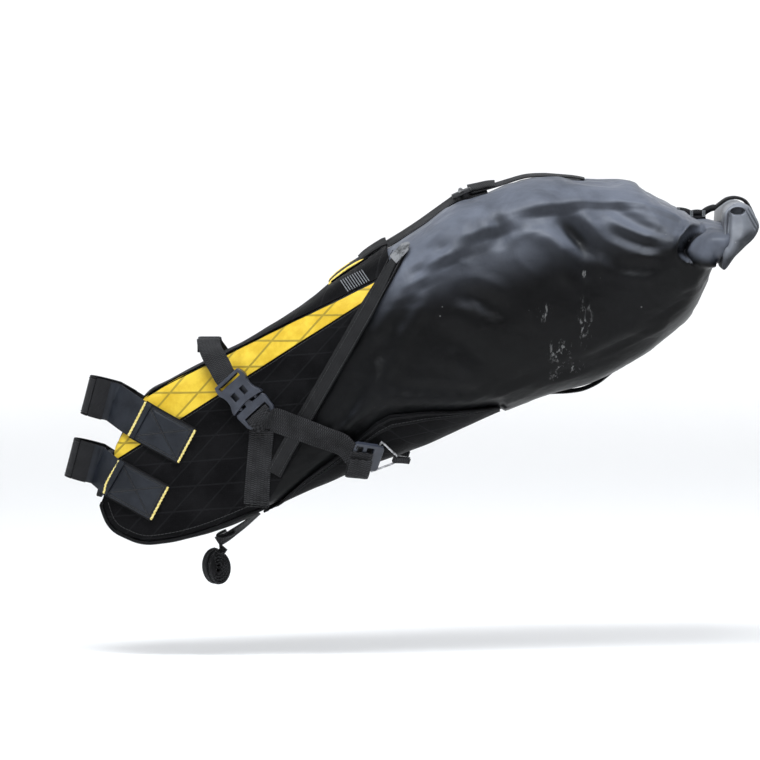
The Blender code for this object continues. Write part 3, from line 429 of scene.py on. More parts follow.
def laminate(name, specular, clouds, roughness, crumple, cloth_colours,
             thread_colour, thread_share, thread_width, thread_height, first_way):
    """Laminated sailcloth: a fine weave with crossed reinforcing threads and a light crumple.

    clouds is the scale and roughness of its mottling, crumple the scale and height of its crumples,
    and first_way the direction across the first set of threads.
    """
    f = Finish(name, cloth_colours[0], roughness[0], Specular_IOR_Level=specular)
    place, flat = f.place(), f.cloth()
    threads = f.math("MAXIMUM", f.lines(flat, first_way, 0.0240, thread_width),
                     f.lines(flat, (0.743, -0.669), 0.0200, thread_width))
    cloudy = f.noise(place, clouds[0], 4.0, clouds[1])
    weave = f.node("TexChecker", {"Vector": flat, "Scale": 620.0}).outputs["Fac"]
    colour = f.mix(f.ramp(cloudy, 0.35, 0.68), *cloth_colours)
    f.set("Base Color", f.mix(f.math("MULTIPLY", threads, thread_share), colour, thread_colour))
    f.set("Roughness", f.ramp(cloudy, 0.3, 0.7, *roughness))
    f.bump(threads, thread_height)
    f.bump(weave, 0.00008)
    f.bump(f.noise(place, crumple[0], 3.0, 0.55), crumple[1])
    return f.material


def patch_fabric():
    """Smooth rubber-faced cloth of the seatpost straps, with a fine leathery grain."""
    f = Finish("patch_fabric", (0.016, 0.019, 0.026), 0.45, Specular_IOR_Level=0.24)
    place = f.place()
    cloudy = f.noise(place, 45.0, 4.0, 0.6)
    grain = f.node("TexVoronoi", {"Vector": place, "Scale": 900.0}).outputs["Distance"]
    colour = f.mix(f.ramp(cloudy, 0.35, 0.7), (0.0060, 0.0075, 0.0110), (0.0120, 0.0145, 0.0200))
    f.set("Base Color", colour)
    f.set("Roughness", f.ramp(cloudy, 0.3, 0.7, 0.38, 0.52))
    f.bump(grain, 0.0001)
    f.bump(f.noise(place, 90.0, 2.0), 0.0004)
    return f.material


def woven(name, dark, light, pitch, column, depth):
    """Narrow woven tape: plaited ribs along it and a darker selvedge."""
    f = Finish(name, dark, 0.75, Sheen_Weight=0.02, Specular_IOR_Level=0.14)
    flat = f.cloth()
    along, across = f.part(flat, "X"), f.part(flat, "Y")
    turn = f.math("MULTIPLY", across, 1.0 / column)
    phase = f.math("MULTIPLY", f.math("MODULO", f.math("FLOOR", turn), 2.0), 0.5)
    rib = f.math("PINGPONG", f.math("ADD", f.math("MULTIPLY", along, 1.0 / pitch), phase), 0.5)
    ridge = f.math("PINGPONG", turn, 0.5)
    height = f.math("MULTIPLY", f.ramp(rib, 0.0, 0.35), f.ramp(ridge, 0.0, 0.2, 0.7, 1.0))
    tone = f.math("MULTIPLY", height, f.noise(f.place(), 55.0, 3.0, 0.6))
    f.set("Base Color", f.mix(f.ramp(tone, 0.1, 0.62), dark, light))
    f.set("Roughness", f.ramp(height, 0.0, 1.0, 0.85, 0.62))
    f.bump(height, depth)
    return f.material


def worn_fabric():
    """Cloth rubbed pale at a corner, its nap broken up."""
    f = Finish("worn_fabric", (0.1, 0.1, 0.11), 0.85)
    place = f.place()
    patchy = f.ramp(f.noise(place, 90.0), 0.2, 0.7, 0.7, 1.3)
    rubbed = f.math("MULTIPLY", f.noise(place, 420.0, 4.0, 0.7), patchy)
    f.set("Base Color", f.mix(f.ramp(rubbed, 0.25, 0.62), (0.020, 0.021, 0.023), (0.150, 0.153, 0.160)))
    f.bump(rubbed, 0.0004)
    return f.material


def foam():
    f = Finish("foam", (0.018, 0.018, 0.02), 0.9)
    place = f.place()
    cells = f.node("TexVoronoi", {"Vector": place, "Scale": 700.0}).outputs["Distance"]
    f.set("Base Color", f.mix(f.ramp(cells, 0.1, 0.6), (0.03, 0.03, 0.032), (0.011, 0.011, 0.012)))
    f.bump(cells, 0.0003)
    return f.material


def moulded_plastic(name, dark, light, roughness):
    """Injection-moulded nylon: spark-eroded grain, slightly paler where it rubs."""
    f = Finish(name, dark, roughness, Specular_IOR_Level=0.5)
    place = f.place()
    cloudy = f.noise(place, 120.0, 4.0, 0.65)
    rubbed = f.node("NewGeometry", {}).outputs["Pointiness"]
    wear = f.math("MULTIPLY", f.ramp(rubbed, 0.52, 0.60), f.ramp(cloudy, 0.35, 0.6))
    f.set("Base Color", f.mix(f.math("MAXIMUM", wear, f.ramp(cloudy, 0.3, 0.9, 0.0, 0.5)), dark, light))
    f.set("Roughness", f.ramp(cloudy, 0.3, 0.7, roughness - 0.06, roughness + 0.08))
    f.bump(f.noise(place, 1500.0, 2.0), 0.00006)
    return f.material


def steel_wire():
    f = Finish("steel_wire", (0.16, 0.16, 0.165), 0.32, Metallic=0.9)
    cloudy = f.noise(f.place(), 260.0, 4.0, 0.6)
    f.set("Base Color", f.mix(f.ramp(cloudy, 0.4, 0.65), (0.16, 0.16, 0.165), (0.48, 0.48, 0.49)))
    f.set("Roughness", f.ramp(cloudy, 0.3, 0.7, 0.24, 0.45))
    f.bump(cloudy, 0.0001)
    return f.material


def thread(name, dark, light):
    """Twisted sewing thread."""
    f = Finish(name, dark, 0.6)
    twist = f.noise(f.place(), 900.0, 2.0)
    f.set("Base Color", f.mix(f.ramp(twist, 0.35, 0.65), dark, light))
    f.bump(twist, 0.00012)
    return f.material


FINISHES = {
    # Each takes the pale colour of dust and painted sheen, and the range over which it spreads.
    "coated_fabric": coated_fabric("coated_fabric", (0.100, 0.110, 0.137), (0.14, 0.92)),
    # The roll's copy: a paler dust-and-sheen colour reaching further down, a painted sheen where the roll's
    # end tilts up to the light.
    "rolled_fabric": coated_fabric("rolled_fabric", (0.170, 0.180, 0.205), (-0.20, 0.60)),
    "laminate": laminate(
        "laminate", specular=0.05, clouds=(26.0, 0.6), roughness=(0.52, 0.68), crumple=(70.0, 0.0008),
        cloth_colours=((0.0020, 0.0020, 0.0024), (0.0052, 0.0052, 0.0058)),
        thread_colour=(0.036, 0.036, 0.039), thread_share=0.11, thread_width=0.0010,
        thread_height=0.00022, first_way=(-0.087, 0.996)),
    "yellow_laminate": laminate(
        "yellow_laminate", specular=0.3, clouds=(38.0, 0.65), roughness=(0.42, 0.58), crumple=(80.0, 0.0006),
        cloth_colours=((0.48, 0.310, 0.012), (0.62, 0.440, 0.034)),
        thread_colour=(0.20, 0.15, 0.012), thread_share=0.8, thread_width=0.0013,
        thread_height=0.00025, first_way=(-0.035, 0.999)),
    "patch_fabric": patch_fabric(),
    "binding": woven("binding", (0.0045, 0.0045, 0.0050), (0.015, 0.015, 0.016), 0.0011, 0.0024, 0.00020),
    "webbing": woven("webbing", (0.0050, 0.0050, 0.0055), (0.027, 0.027, 0.029), 0.0019, 0.0032, 0.00040),
    "hook_tape": woven("hook_tape", (0.0045, 0.0045, 0.0050), (0.016, 0.016, 0.018), 0.0013, 0.0013, 0.00030),
    "foam": foam(),
    "slate_plastic": moulded_plastic("slate_plastic", (0.014, 0.017, 0.026), (0.044, 0.051, 0.073), 0.38),
    "black_plastic": moulded_plastic("black_plastic", (0.010, 0.010, 0.011), (0.035, 0.035, 0.038), 0.40),
    "steel_wire": steel_wire(),
    "stiffener": moulded_plastic("stiffener", (0.050, 0.050, 0.053), (0.090, 0.090, 0.095), 0.50),
    "worn_fabric": worn_fabric(),
    "dark_thread": thread("dark_thread", (0.0022, 0.0022, 0.0026), (0.0080, 0.0080, 0.0090)),
    "grey_thread": thread("grey_thread", (0.07, 0.075, 0.08), (0.17, 0.18, 0.19)),
    "cream_thread": thread("cream_thread", (0.60, 0.46, 0.09), (0.86, 0.76, 0.34)),
    "yellow_thread": thread("yellow_thread", (0.62, 0.42, 0.03), (0.88, 0.70, 0.16)),
}


# ---------------------------------------------------------------- meshes and pieces
def quads(index):
    """Faces between neighbouring rows and columns of a grid of vertex numbers."""
    return np.stack([index[:-1, :-1], index[1:, :-1], index[1:, 1:], index[:-1, 1:]], -1).reshape(-1, 4)


def tube_faces(rows, columns, first_vertex=0, closed=False):
    """Faces of a tube of rows of points, joined into a ring if closed, or else capped at both ends."""
    index = np.arange(rows * columns).reshape(rows, columns) + first_vertex
    caps = [] if closed else [index[0], index[-1]]
    index = np.concatenate([index, index[:, :1]], 1)
    if closed:
        index = np.concatenate([index, index[:1]], 0)
    return list(quads(index)) + caps


def make_mesh(name, points, faces):
    mesh = bpy.data.meshes.new(name)
    mesh.from_pydata(np.asarray(points).reshape(-1, 3).tolist(), [], [face.tolist() for face in faces])
    return mesh


def place_object(name, data):
    item = bpy.data.objects.new(name, data)
    bpy.context.scene.collection.objects.link(item)
    return item


def make_piece(name, points, faces, finish, cloth, angle=50.0):
    """A mesh object from points and faces, with its cloth coordinates."""
    mesh = make_mesh(name, points, faces)
    values = np.zeros((len(mesh.vertices), 3), np.float32)
    values[:, :cloth.shape[-1]] = cloth.reshape(-1, cloth.shape[-1])
    mesh.attributes.new("cloth", "FLOAT_VECTOR", "POINT").data.foreach_set("vector", values.ravel())
    return finish_mesh(name, mesh, finish, angle)


def finish_mesh(name, mesh, finish, angle):
    """A smooth-shaded object of the mesh, with edges sharper than the angle kept sharp."""
    bm = bmesh.new()
    bm.from_mesh(mesh)
    bmesh.ops.recalc_face_normals(bm, faces=bm.faces)
    bm.to_mesh(mesh)
    bm.free()
    mesh.materials.append(FINISHES[finish])
    mesh.shade_smooth()
    mesh.set_sharp_from_angle(angle=math.radians(angle))
    return place_object(name, mesh)


def settle(item, body):
    """Tie a piece to its body. It stands for the CAD node whose name it has, if any."""
    if body:
        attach(item, body)
    node = item.name.partition(".")[0]
    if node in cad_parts:
        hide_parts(node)
    return item


def soften(item, width, segments=2, angle=40.0):
    """Round an item's hard edges."""
    bevel = item.modifiers.new("soft_edges", "BEVEL")
    bevel.width = width
    bevel.segments = segments
    bevel.limit_method = "ANGLE"
    bevel.angle_limit = math.radians(angle)
    return item


def shell(name, points, normals, lift, thickness, finish, cloth):
    """A layer of cloth over a grid of surface points."""
    rows, columns = points.shape[:2]
    inner = points + normals * lift
    outer = points + normals * (lift + thickness)
    index = np.arange(rows * columns).reshape(rows, columns)
    loop = np.concatenate([index[0, :], index[1:, -1], index[-1, -2::-1], index[-2:0:-1, 0]])
    count = rows * columns
    following = np.roll(loop, -1)
    walls = np.stack([loop, following, following + count, loop + count], -1)
    faces = np.concatenate([quads(index), quads(index) + count, walls])
    item = make_piece(name, np.concatenate([inner, outer]), faces, finish, np.concatenate([cloth, cloth]))
    return soften(item, thickness * 0.45)


def skin(name, grid, side, lift, thickness, finish, cloth=None):
    """A layer of cloth on the pack's side over a grid of (x, z) points."""
    points, normals = side_frames(grid, side)
    item = shell(name, points, normals, lift, thickness, finish, grid if cloth is None else cloth)
    return settle(item, "pack")


def side_grid(low, high, columns, rows):
    """(x, z) points between a low and a high border."""
    low, high = resample(low, columns), resample(high, columns)
    share = np.linspace(0.0, 1.0, rows + 1)[None, :, None]
    return low[:, None, :] * (1.0 - share) + high[:, None, :] * share


def band_grid(path, width, columns, across, taper=1.0):
    """(x, z) points of a band along a path, narrowing to taper at its end; and cloth coordinates."""
    path = resample(path, columns)
    heading = tangents(path)
    normal = np.stack([-heading[:, 1], heading[:, 0]], -1)
    offsets = np.linspace(-width / 2.0, width / 2.0, across + 1)
    narrowing = 1.0 + (taper - 1.0) * smooth(0.72, 1.0, np.linspace(0.0, 1.0, columns))
    offsets = offsets[None, :] * narrowing[:, None]
    grid = path[:, None, :] + normal[:, None, :] * offsets[..., None]
    along = np.repeat(run_length(path)[:, None], across + 1, 1)
    return grid, np.stack([along, offsets], -1)


def strap(name, path, across, width, thickness, finish="webbing", body="pack", sag=0.0):
    """A woven strap along a path; across gives its width direction at each point."""
    path = np.asarray(path, float)
    heading = tangents(path)
    across = np.broadcast_to(np.asarray(across, float), path.shape)
    normal = unit(np.cross(heading, across))
    across = np.cross(normal, heading)
    v = np.linspace(-0.5, 0.5, 10)
    rim = np.sqrt(np.clip(1.0 - (np.abs(v) * 2.0) ** 10, 0.0, 1.0)) * (1.0 + 0.25 * np.abs(v * 2.0) ** 4)
    top = np.stack([v * width, 0.5 * thickness * np.maximum(rim, 0.35)], -1)
    outline = np.concatenate([top, top[::-1] * np.array([1.0, -1.0])])
    dip = -sag * (1.0 - (2.0 * outline[:, 0] / width) ** 2)
    points = (path[:, None, :] + across[:, None, :] * outline[None, :, 0:1]
              + normal[:, None, :] * (outline[None, :, 1] + dip[None, :])[..., None])
    rows, columns = len(path), len(outline)
    cloth = np.stack([np.repeat(run_length(path)[:, None], columns, 1),
                      np.repeat(outline[None, :, 0], rows, 0)], -1)
    return settle(make_piece(name, points, tube_faces(rows, columns), finish, cloth, 65.0), body)


def tube_data(path, radius, sides, closed=False, first_vertex=0):
    """Points and faces of a round bar along a path; radius may vary along it."""
    path = np.asarray(path, float)
    count = len(path)
    if closed:
        heading = unit(np.roll(path, -1, 0) - np.roll(path, 1, 0))
    else:
        heading = tangents(path)
    reference = np.where(np.abs(heading[:, 1:2]) < 0.85, [[0.0, 1.0, 0.0]], [[1.0, 0.0, 0.0]])
    first = unit(np.cross(heading, reference))
    second = np.cross(heading, first)
    angle = 2.0 * math.pi * np.arange(sides) / sides
    radius = np.broadcast_to(np.asarray(radius, float), (count,))[:, None, None]
    points = path[:, None, :] + radius * (first[:, None, :] * np.cos(angle)[None, :, None]
                                          + second[:, None, :] * np.sin(angle)[None, :, None])
    return points.reshape(-1, 3), tube_faces(count, sides, first_vertex, closed)


def bars(name, paths, radius, finish, sides=6, closed=False, body="pack"):
    """Several round bars as one piece."""
    points, faces, total = [], [], 0
    for path in paths:
        more, more_faces = tube_data(path, radius, sides, closed, total)
        points.append(more)
        faces += more_faces
        total += len(more)
    item = make_piece(name, np.concatenate(points), faces, finish, np.zeros((total, 2)), 70.0)
    return settle(item, body)


STITCH_PITCH = 0.0036


def stitches(name, lines, gauge=0.0004, body="pack"):
    """Rows of sewn stitches. Each line is its points and the surface normals there."""
    paths = []
    for points, normals in lines:
        length = run_length(points)
        count = max(int(length[-1] / STITCH_PITCH), 1)
        for k in range(count):
            at = length[-1] * (k + np.array([0.08, 0.22, 0.5, 0.78, 0.92])) / count
            place = np.stack([np.interp(at, length, points[:, i]) for i in range(3)], -1)
            up = unit(np.stack([np.interp(at, length, normals[:, i]) for i in range(3)], -1))
            rise = gauge * np.array([-0.9, 0.35, 0.55, 0.35, -0.9])
            paths.append(place + up * rise[:, None])
    return bars(name, paths, gauge, "dark_thread", 5, body=body)


def side_line(points, lift, side, count=None, smooth_line=False):
    """A line over one side's skins from (x, z) points: its points and normals."""
    length = run_length(np.asarray(points, float))[-1]
    count = count or max(int(length / 0.0015), 4)
    flat = curve(points, count) if smooth_line else resample(points, count)
    places, normals = side_frames(flat, side)
    return places + normals * lift, normals


BARTACK_WIDTH = 0.0019


def bartack(name, start, end, lift, side):
    """A dense bar of thread across the end of a patch, from (x, z) to (x, z)."""
    points, normals = side_line([start, end], lift, side, 60)
    across = np.cross(normals, tangents(points))
    rise = np.array([-0.0003, 0.0003, 0.0005, 0.0003, -0.0003])
    paths = []
    for k in range(len(points)):
        wobble = 0.10 * math.sin(7.3 * k)
        offsets = (np.array([-0.5, -0.275, 0.0, 0.275, 0.5]) + wobble) * BARTACK_WIDTH
        paths.append(points[k] + across[k] * offsets[:, None] + normals[k] * rise[:, None])
    return bars(name, paths, 0.00032, "cream_thread", 5)


def moulded(name, finish, body, rounding):
    """A piece in the shape of the CAD node of its name, its edges rounded."""
    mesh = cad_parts[name].data.copy()
    mesh.materials.clear()
    bm = bmesh.new()
    bm.from_mesh(mesh)
    bmesh.ops.remove_doubles(bm, verts=bm.verts, dist=1e-5)
    bmesh.ops.dissolve_limit(bm, angle_limit=math.radians(2.0), verts=bm.verts, edges=bm.edges)
    bm.to_mesh(mesh)
    bm.free()
    item = finish_mesh(name, mesh, finish, 35.0)
    soften(item, rounding, 3, 30.0)
    return settle(item, body)


# ---------------------------------------------------------------- the dry bag
RINGS = 400
RING_SIDES = 232
# Sculpted dents of the left flank: start (x, z), end (x, z), width and depth.
FOLDS = [
    ((0.4460, 0.2600), (0.4780, 0.1900), 0.0110, 0.0056),
    ((0.4200, 0.2500), (0.4960, 0.2110), 0.0095, 0.0040),
    ((0.3860, 0.2460), (0.3900, 0.2200), 0.0080, 0.0032),
    ((0.3480, 0.1740), (0.3960, 0.1560), 0.0100, 0.0034),
    ((0.3340, 0.1340), (0.3850, 0.0990), 0.0110, 0.0030),
    ((0.3160, 0.2080), (0.2480, 0.0860), 0.0100, 0.0030),
    ((0.2960, 0.1560), (0.2240, 0.0400), 0.0080, 0.0034),
    ((0.2560, 0.0800), (0.1960, 0.0020), 0.0065, 0.0036),
    ((0.2720, 0.0640), (0.2300, 0.0260), 0.0050, 0.0030),
    ((0.5480, 0.2310), (0.4960, 0.2560), 0.0055, 0.0018),
    ((0.5460, 0.2190), (0.4900, 0.2330), 0.0060, 0.0020),
    ((0.5450, 0.2020), (0.5060, 0.1980), 0.0060, 0.0018),
    ((0.4720, 0.0980), (0.5360, 0.1340), 0.0090, 0.0030),
    ((0.3000, 0.0800), (0.3720, 0.0760), 0.0060, 0.0022),
]
# The tuck where the flattened mouth's end folds against the bag's flank.
TUCK = [(0.5850, 0.2440), (0.5740, 0.2330), (0.5670, 0.2220), (0.5660, 0.2140), (0.5720, 0.2080)]
TUCK_DEPTH = 0.0150


def behind_edge(xz):
    """Distance of (x, z) points behind the side panel's rear edge."""
    start, end = np.array(REAR_EDGE)
    heading = unit(end - start)
    return (xz - start) @ np.array([heading[1], -heading[0]])


def exposed(xz):
    """1 where the bag stands free of the holster, 0 where the skins hold it."""
    guard = np.array(GUARD_EDGE)
    above = xz[..., 1] - np.interp(xz[..., 0], guard[:, 0], guard[:, 1], right=-1.0)
    return smooth(0.0, 0.024, behind_edge(xz)) * smooth(0.001, 0.016, above)


def fold_relief(xz, fold):
    """A dent with a ridge along its lower side, fading out at both ends."""
    start, end, width, depth = fold
    start, end = np.array(start), np.array(end)
    heading = unit(end - start)
    length = np.linalg.norm(end - start)
    along = (xz - start) @ heading
    off = (xz - start) @ np.array([heading[1], -heading[0]])
    off = off + 0.25 * width * np.sin(along / length * math.pi * 1.3)
    ends = smooth(-0.25 * length, 0.30 * length, along) * smooth(1.25 * length, 0.70 * length, along)
    dent = np.exp(-(off / width) ** 2)
    ridge = np.exp(-((np.abs(off) - 1.7 * width) / (0.8 * width)) ** 2)
    return depth * ends * (0.45 * ridge - dent)


def tuck_relief(xz):
    """A lip along the tuck's front, a deep step behind it, and the ear's cone swelling out."""
    line = curve(TUCK, 60)
    gap = xz[..., None, :] - line
    distance = np.linalg.norm(gap, axis=-1)
    nearest = np.argmin(distance, axis=-1)
    heading = tangents(line)[nearest]
    offset = np.take_along_axis(gap, nearest[..., None, None], axis=-2)[..., 0, :]
    side = offset[..., 1] * heading[..., 0] - offset[..., 0] * heading[..., 1]
    away = np.min(distance, axis=-1)
    share = nearest / (len(line) - 1.0)
    strength = np.sin(math.pi * np.clip(0.12 + 0.76 * share, 0.0, 1.0))
    valley = -TUCK_DEPTH * strength * np.where(side > 0.0, np.exp(-(away / 0.0056) ** 2),
                                               np.exp(-(away / 0.0014) ** 2))
    lip = 0.0034 * strength * np.where(side < 0.0, np.exp(-((away - 0.0038) / 0.0034) ** 2), 0.0)
    ahead = xz[..., 0] - 0.5700
    above = xz[..., 1] - (0.2095 - 0.125 * ahead)
    gentle = np.clip(1.0 - above / (0.012 + 0.75 * np.clip(ahead, 0.0, 0.05)), 0.0, 1.0)
    cone = 0.0080 * smooth(0.006, 0.021, ahead) * np.where(above > 0.0, gentle, smooth(-0.0095, 0.0, above))
    return valley + lip + cone * (side > 0.0)


SWELL_FRAMES = 16
SWELL_CAP = 0.0026


def stuffed_swell(points, held):
    """Cloth simulation of the bag as a coarse net under inner pressure: how far each point moves."""
    item = place_object("swell", make_mesh("swell", points, tube_faces(*points.shape[:2])))
    group = item.vertex_groups.new(name="held")
    for number, weight in enumerate(held.ravel()):
        group.add([number], float(weight), "REPLACE")
    cloth = item.modifiers.new("cloth", "CLOTH")
    values = {"quality": 6, "mass": 0.25, "tension_stiffness": 12.0, "compression_stiffness": 12.0,
              "shear_stiffness": 4.0, "bending_stiffness": 0.4, "shrink_min": -0.035,
              "use_pressure": True, "uniform_pressure_force": 3.0, "vertex_group_mass": "held"}
    for key, value in values.items():
        setattr(cloth.settings, key, value)
    cloth.settings.effector_weights.gravity = 0.0
    cloth.collision_settings.use_collision = False
    cloth.point_cache.frame_end = SWELL_FRAMES
    for number in range(1, SWELL_FRAMES + 1):
        bpy.context.scene.frame_set(number)
    evaluated = item.evaluated_get(bpy.context.evaluated_depsgraph_get())
    moved = np.array([v.co for v in evaluated.data.vertices]).reshape(points.shape)
    bpy.data.objects.remove(item, do_unlink=True)
    bpy.context.scene.frame_set(1)
    return moved - points


def spread(coarse, rows, columns):
    """A coarse field over the bag's net, interpolated to the fine net's rows and columns."""
    coarse = np.concatenate([coarse, coarse[:, :1]], 1)
    r = np.linspace(0.0, coarse.shape[0] - 1.0, rows)
    c = np.linspace(0.0, coarse.shape[1] - 1.0, columns, endpoint=False)
    by_row = np.stack([[np.interp(r, np.arange(coarse.shape[0]), coarse[:, j, k])
                        for k in range(3)] for j in range(coarse.shape[1])])
    by_row = np.moveaxis(by_row, 2, 0)
    return np.stack([[np.interp(c, np.arange(coarse.shape[1]), by_row[i, :, k])
                      for k in range(3)] for i in range(rows)]).swapaxes(1, 2)


def bag_net(rows, columns):
    """Points, normals, station numbers and angles of the bag, before any creases."""
    u = np.interp(np.linspace(0.0, 1.0, rows), (0.0, 0.62, 1.0), (0.0, 13.5, LAST))
    u = u[:, None] * np.ones((1, columns))
    angle = np.linspace(0.0, 2.0 * math.pi, columns, endpoint=False)[None, :] * np.ones((rows, 1))
    points, normals = ring_frames(u, angle)
    inset = BAG_INSET * np.clip((HOLSTER_END + 1.0 - u) / 2.0, 0.0, 1.0)
    inset = inset * (1.0 - exposed(points[..., [0, 2]]))
    return points - normals * inset[..., None], normals, u, angle


def jittered_folds():
    """The right flank's dents: the left ones, moved about."""
    chance = random.Random(7)
    folds = []
    for start, end, width, depth in FOLDS[:-1]:
        dx, dz = chance.uniform(-0.022, 0.012), chance.uniform(-0.018, 0.014)
        turn = chance.uniform(-0.010, 0.010)
        moved = ((start[0] + dx, start[1] + dz + turn), (end[0] + dx, end[1] + dz - turn))
        folds.append((*moved, width, depth))
    return folds


def build_dry_bag():
    points, normals, u, angle = bag_net(RINGS, RING_SIDES)
    xz = points[..., [0, 2]]
    free = exposed(xz)
    coarse, coarse_normals, coarse_u, _ = bag_net(RINGS // 5 + 1, RING_SIDES // 4)
    coarse_free = exposed(coarse[..., [0, 2]])
    ends = smooth(BAG_END, BAG_END - 1.5, coarse_u)
    swell = stuffed_swell(coarse, 1.0 - 0.97 * coarse_free * ends)
    out = np.sum(swell * coarse_normals, -1)
    out -= np.median(out[coarse_free * ends > 0.9])
    out = SWELL_CAP * np.tanh(out / SWELL_CAP) * coarse_free * ends
    points = points + spread(coarse_normals * out[..., None], RINGS, RING_SIDES)
    flank = np.abs(normals[..., 1])
    before_neck = smooth(BAG_END + 0.6, BAG_END - 0.4, u)
    fullness = 0.0045 * smooth(0.0, 0.045, behind_edge(xz)) * flank * smooth(17.0, 13.0, u) * free
    relief = np.zeros(u.shape)
    for folds, side in ((FOLDS, normals[..., 1] < 0.0), (jittered_folds(), normals[..., 1] > 0.0)):
        for fold in folds:
            relief += np.where(side, fold_relief(xz, fold), 0.0) * smooth(0.15, 0.6, flank) * free
    relief += tuck_relief(xz) * smooth(0.10, 0.45, flank) * smooth(14.6, 15.2, u)
    # Depth of the painted shade in the dents and the tuck, 0 to 1: the material keeps the pale colour out of
    # them.
    painted_shade_depth = smooth(0.0025, 0.0100, -relief)
    relief += fullness
    broad = noise_field(points, 15.0, 5.0, (1.0, 1.0, 0.8))
    puckers = noise_field(points, 34.0, 21.0, (0.6, 1.0, 1.0))
    sharp = 1.0 - np.abs(noise_field(points, 24.0, 40.0, (0.7, 1.0, 1.0))) * 3.0
    calm = 1.0 - 0.85 * smooth(14.9, 15.7, u) * smooth(0.2, 0.5, flank)
    relief += free * calm * (0.0016 * broad + 0.0007 * puckers + 0.0007 * np.clip(sharp, 0.0, 1.0) ** 3)
    gathers = calm * np.sin(angle * 23.0 + 3.0 * noise_field(points, 18.0, 60.0))
    near_neck = smooth(15.2, 17.2, u) * smooth(LAST, LAST - 1.0, u)
    relief += 0.0005 * gathers * near_neck
    relief -= 0.0075 * smooth(15.0, 16.8, u) * np.clip(np.sin(angle), 0.0, 1.0) ** 2 * smooth(19.0, 17.5, u)
    points = points + normals * (relief * before_neck + relief * (1.0 - before_neck) * 0.4)[..., None]
    # The cloth attribute's third value carries that painted shade to the material.
    cloth = np.stack([u * 0.03, angle * 0.08, painted_shade_depth], -1)
    item = make_piece("dry_bag", points, tube_faces(RINGS, RING_SIDES), "coated_fabric", cloth, 80.0)
    settle(item, None)
    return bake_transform(item)


# ---------------------------------------------------------------- holster skins
REAR_BINDING = [(0.1690, -0.0030), (0.1795, 0.0170), (0.2800, 0.1925), (0.2945, 0.2150)]
WORN_TIP = [(0.2865, 0.2040), (0.3025, 0.2205)]


def build_side_skins():
    for side, hand in SIDES:
        skin("side_panel_" + hand, side_grid(SIDE_LOW, SIDE_HIGH, 110, 60), side, 0.0, SKIN, "laminate")
        skin("top_trim_" + hand, side_grid(TRIM_LOW, TRIM_HIGH, 110, 14), side, 0.0, SKIN, "yellow_laminate")
        grid, cloth = band_grid(REAR_BINDING, 0.015, 90, 6, 0.35)
        skin("rear_binding_" + hand, grid, side, LAYER, SKIN, "binding", cloth)
        grid, cloth = band_grid(WORN_TIP, 0.0085, 20, 6, 0.30)
        skin("worn_tip_" + hand, grid, side, LAYER + 0.0004, SKIN, "worn_fabric", cloth)
        points, _ = side_line(SIDE_LOW, SKIN + 0.0014, side, 120, True)
        bars("piping_" + hand, [points], 0.0015, "binding", 10)


def cross_skin(name, border, top, u_start, u_end, rows, columns, finish):
    """A skin over the bag's top or bottom, between the two side borders."""
    u = np.linspace(u_start, u_end, rows)
    starts = np.array([side_angles(v, np.clip(edge_rise(v, border), -0.999, 0.999)) for v in u])
    middle = math.pi / 2.0 if top else 1.5 * math.pi
    margin = np.sign(middle - starts) * SEAM / section(u)[:, 4]
    reach = middle - starts - margin
    angle = middle + reach[:, None] * np.linspace(-1.0, 1.0, columns)[None, :]
    points, normals = ring_frames(u[:, None] * np.ones((1, columns)), angle)
    points = points + normals * panel_relief(points)[..., None]
    width = run_length(points[rows // 2])
    cloth = np.stack([points[..., 0], np.repeat(width[None, :], rows, 0)], -1)
    settle(shell(name, points, normals, 0.0, SKIN, finish, cloth), "pack")
    return points, normals


def build_cross_skins():
    high = [(x, z + 4.0 * SEAM) for x, z in TRIM_HIGH + SIDE_HIGH[-1:]]
    cross_skin("top_panel", high, True, 0.3, 8.4, 90, 60, "laminate")
    low = [(x, z - 2.5 * SEAM) for x, z in SIDE_LOW]
    cross_skin("base_panel", low, False, 0.12, 5.05, 70, 44, "laminate")
    points, normals = cross_skin("bottom_guard", GUARD_EDGE, False, 5.15, 9.95, 80, 90, "laminate")
    cords, seams = [], []
    for columns, lines in (((2, -3, 6, -7), cords), ((5, -6), seams)):
        for column in columns:
            lines.append((points[:, column] + normals[:, column] * SKIN, normals[:, column]))
    bars("guard_cording", [line for line, _ in cords], 0.0011, "binding", 8)
    stitches("guard_stitching", seams)


def post_matrix(height):
    """Frame of the seatpost: a rearwards, b to +Y, c up the post, origin on the pad's plane."""
    rear = Vector((math.cos(POST_LEAN), 0.0, -math.sin(POST_LEAN)))
    up = Vector((math.sin(POST_LEAN), 0.0, math.cos(POST_LEAN)))
    matrix = Matrix((rear, Vector((0.0, 1.0, 0.0)), up)).transposed().to_4x4()
    matrix.translation = up * height
    return matrix


def build_front():
    panel = moulded("front_panel", "laminate", "pack", 0.0004)
    panel.modifiers.clear()
    moulded("front_pad", "foam", "pack", 0.0012)


# ---------------------------------------------------------------- seatpost straps
PATCH_ALONG = np.array([math.cos(PATCH_TILT), -math.sin(PATCH_TILT)])
PATCH_UP = np.array([math.sin(PATCH_TILT), math.cos(PATCH_TILT)]) * STRAP_HEIGHT / 2.0


def patch_corners(level):
    """Front low, front high, rear low and rear high corners of a patch, as (x, z)."""
    start = np.array(PATCHES[level]) + PATCH_ALONG * 0.004
    end = start + PATCH_ALONG * PATCH_LENGTH
    return start - PATCH_UP, start + PATCH_UP, end - PATCH_UP, end + PATCH_UP


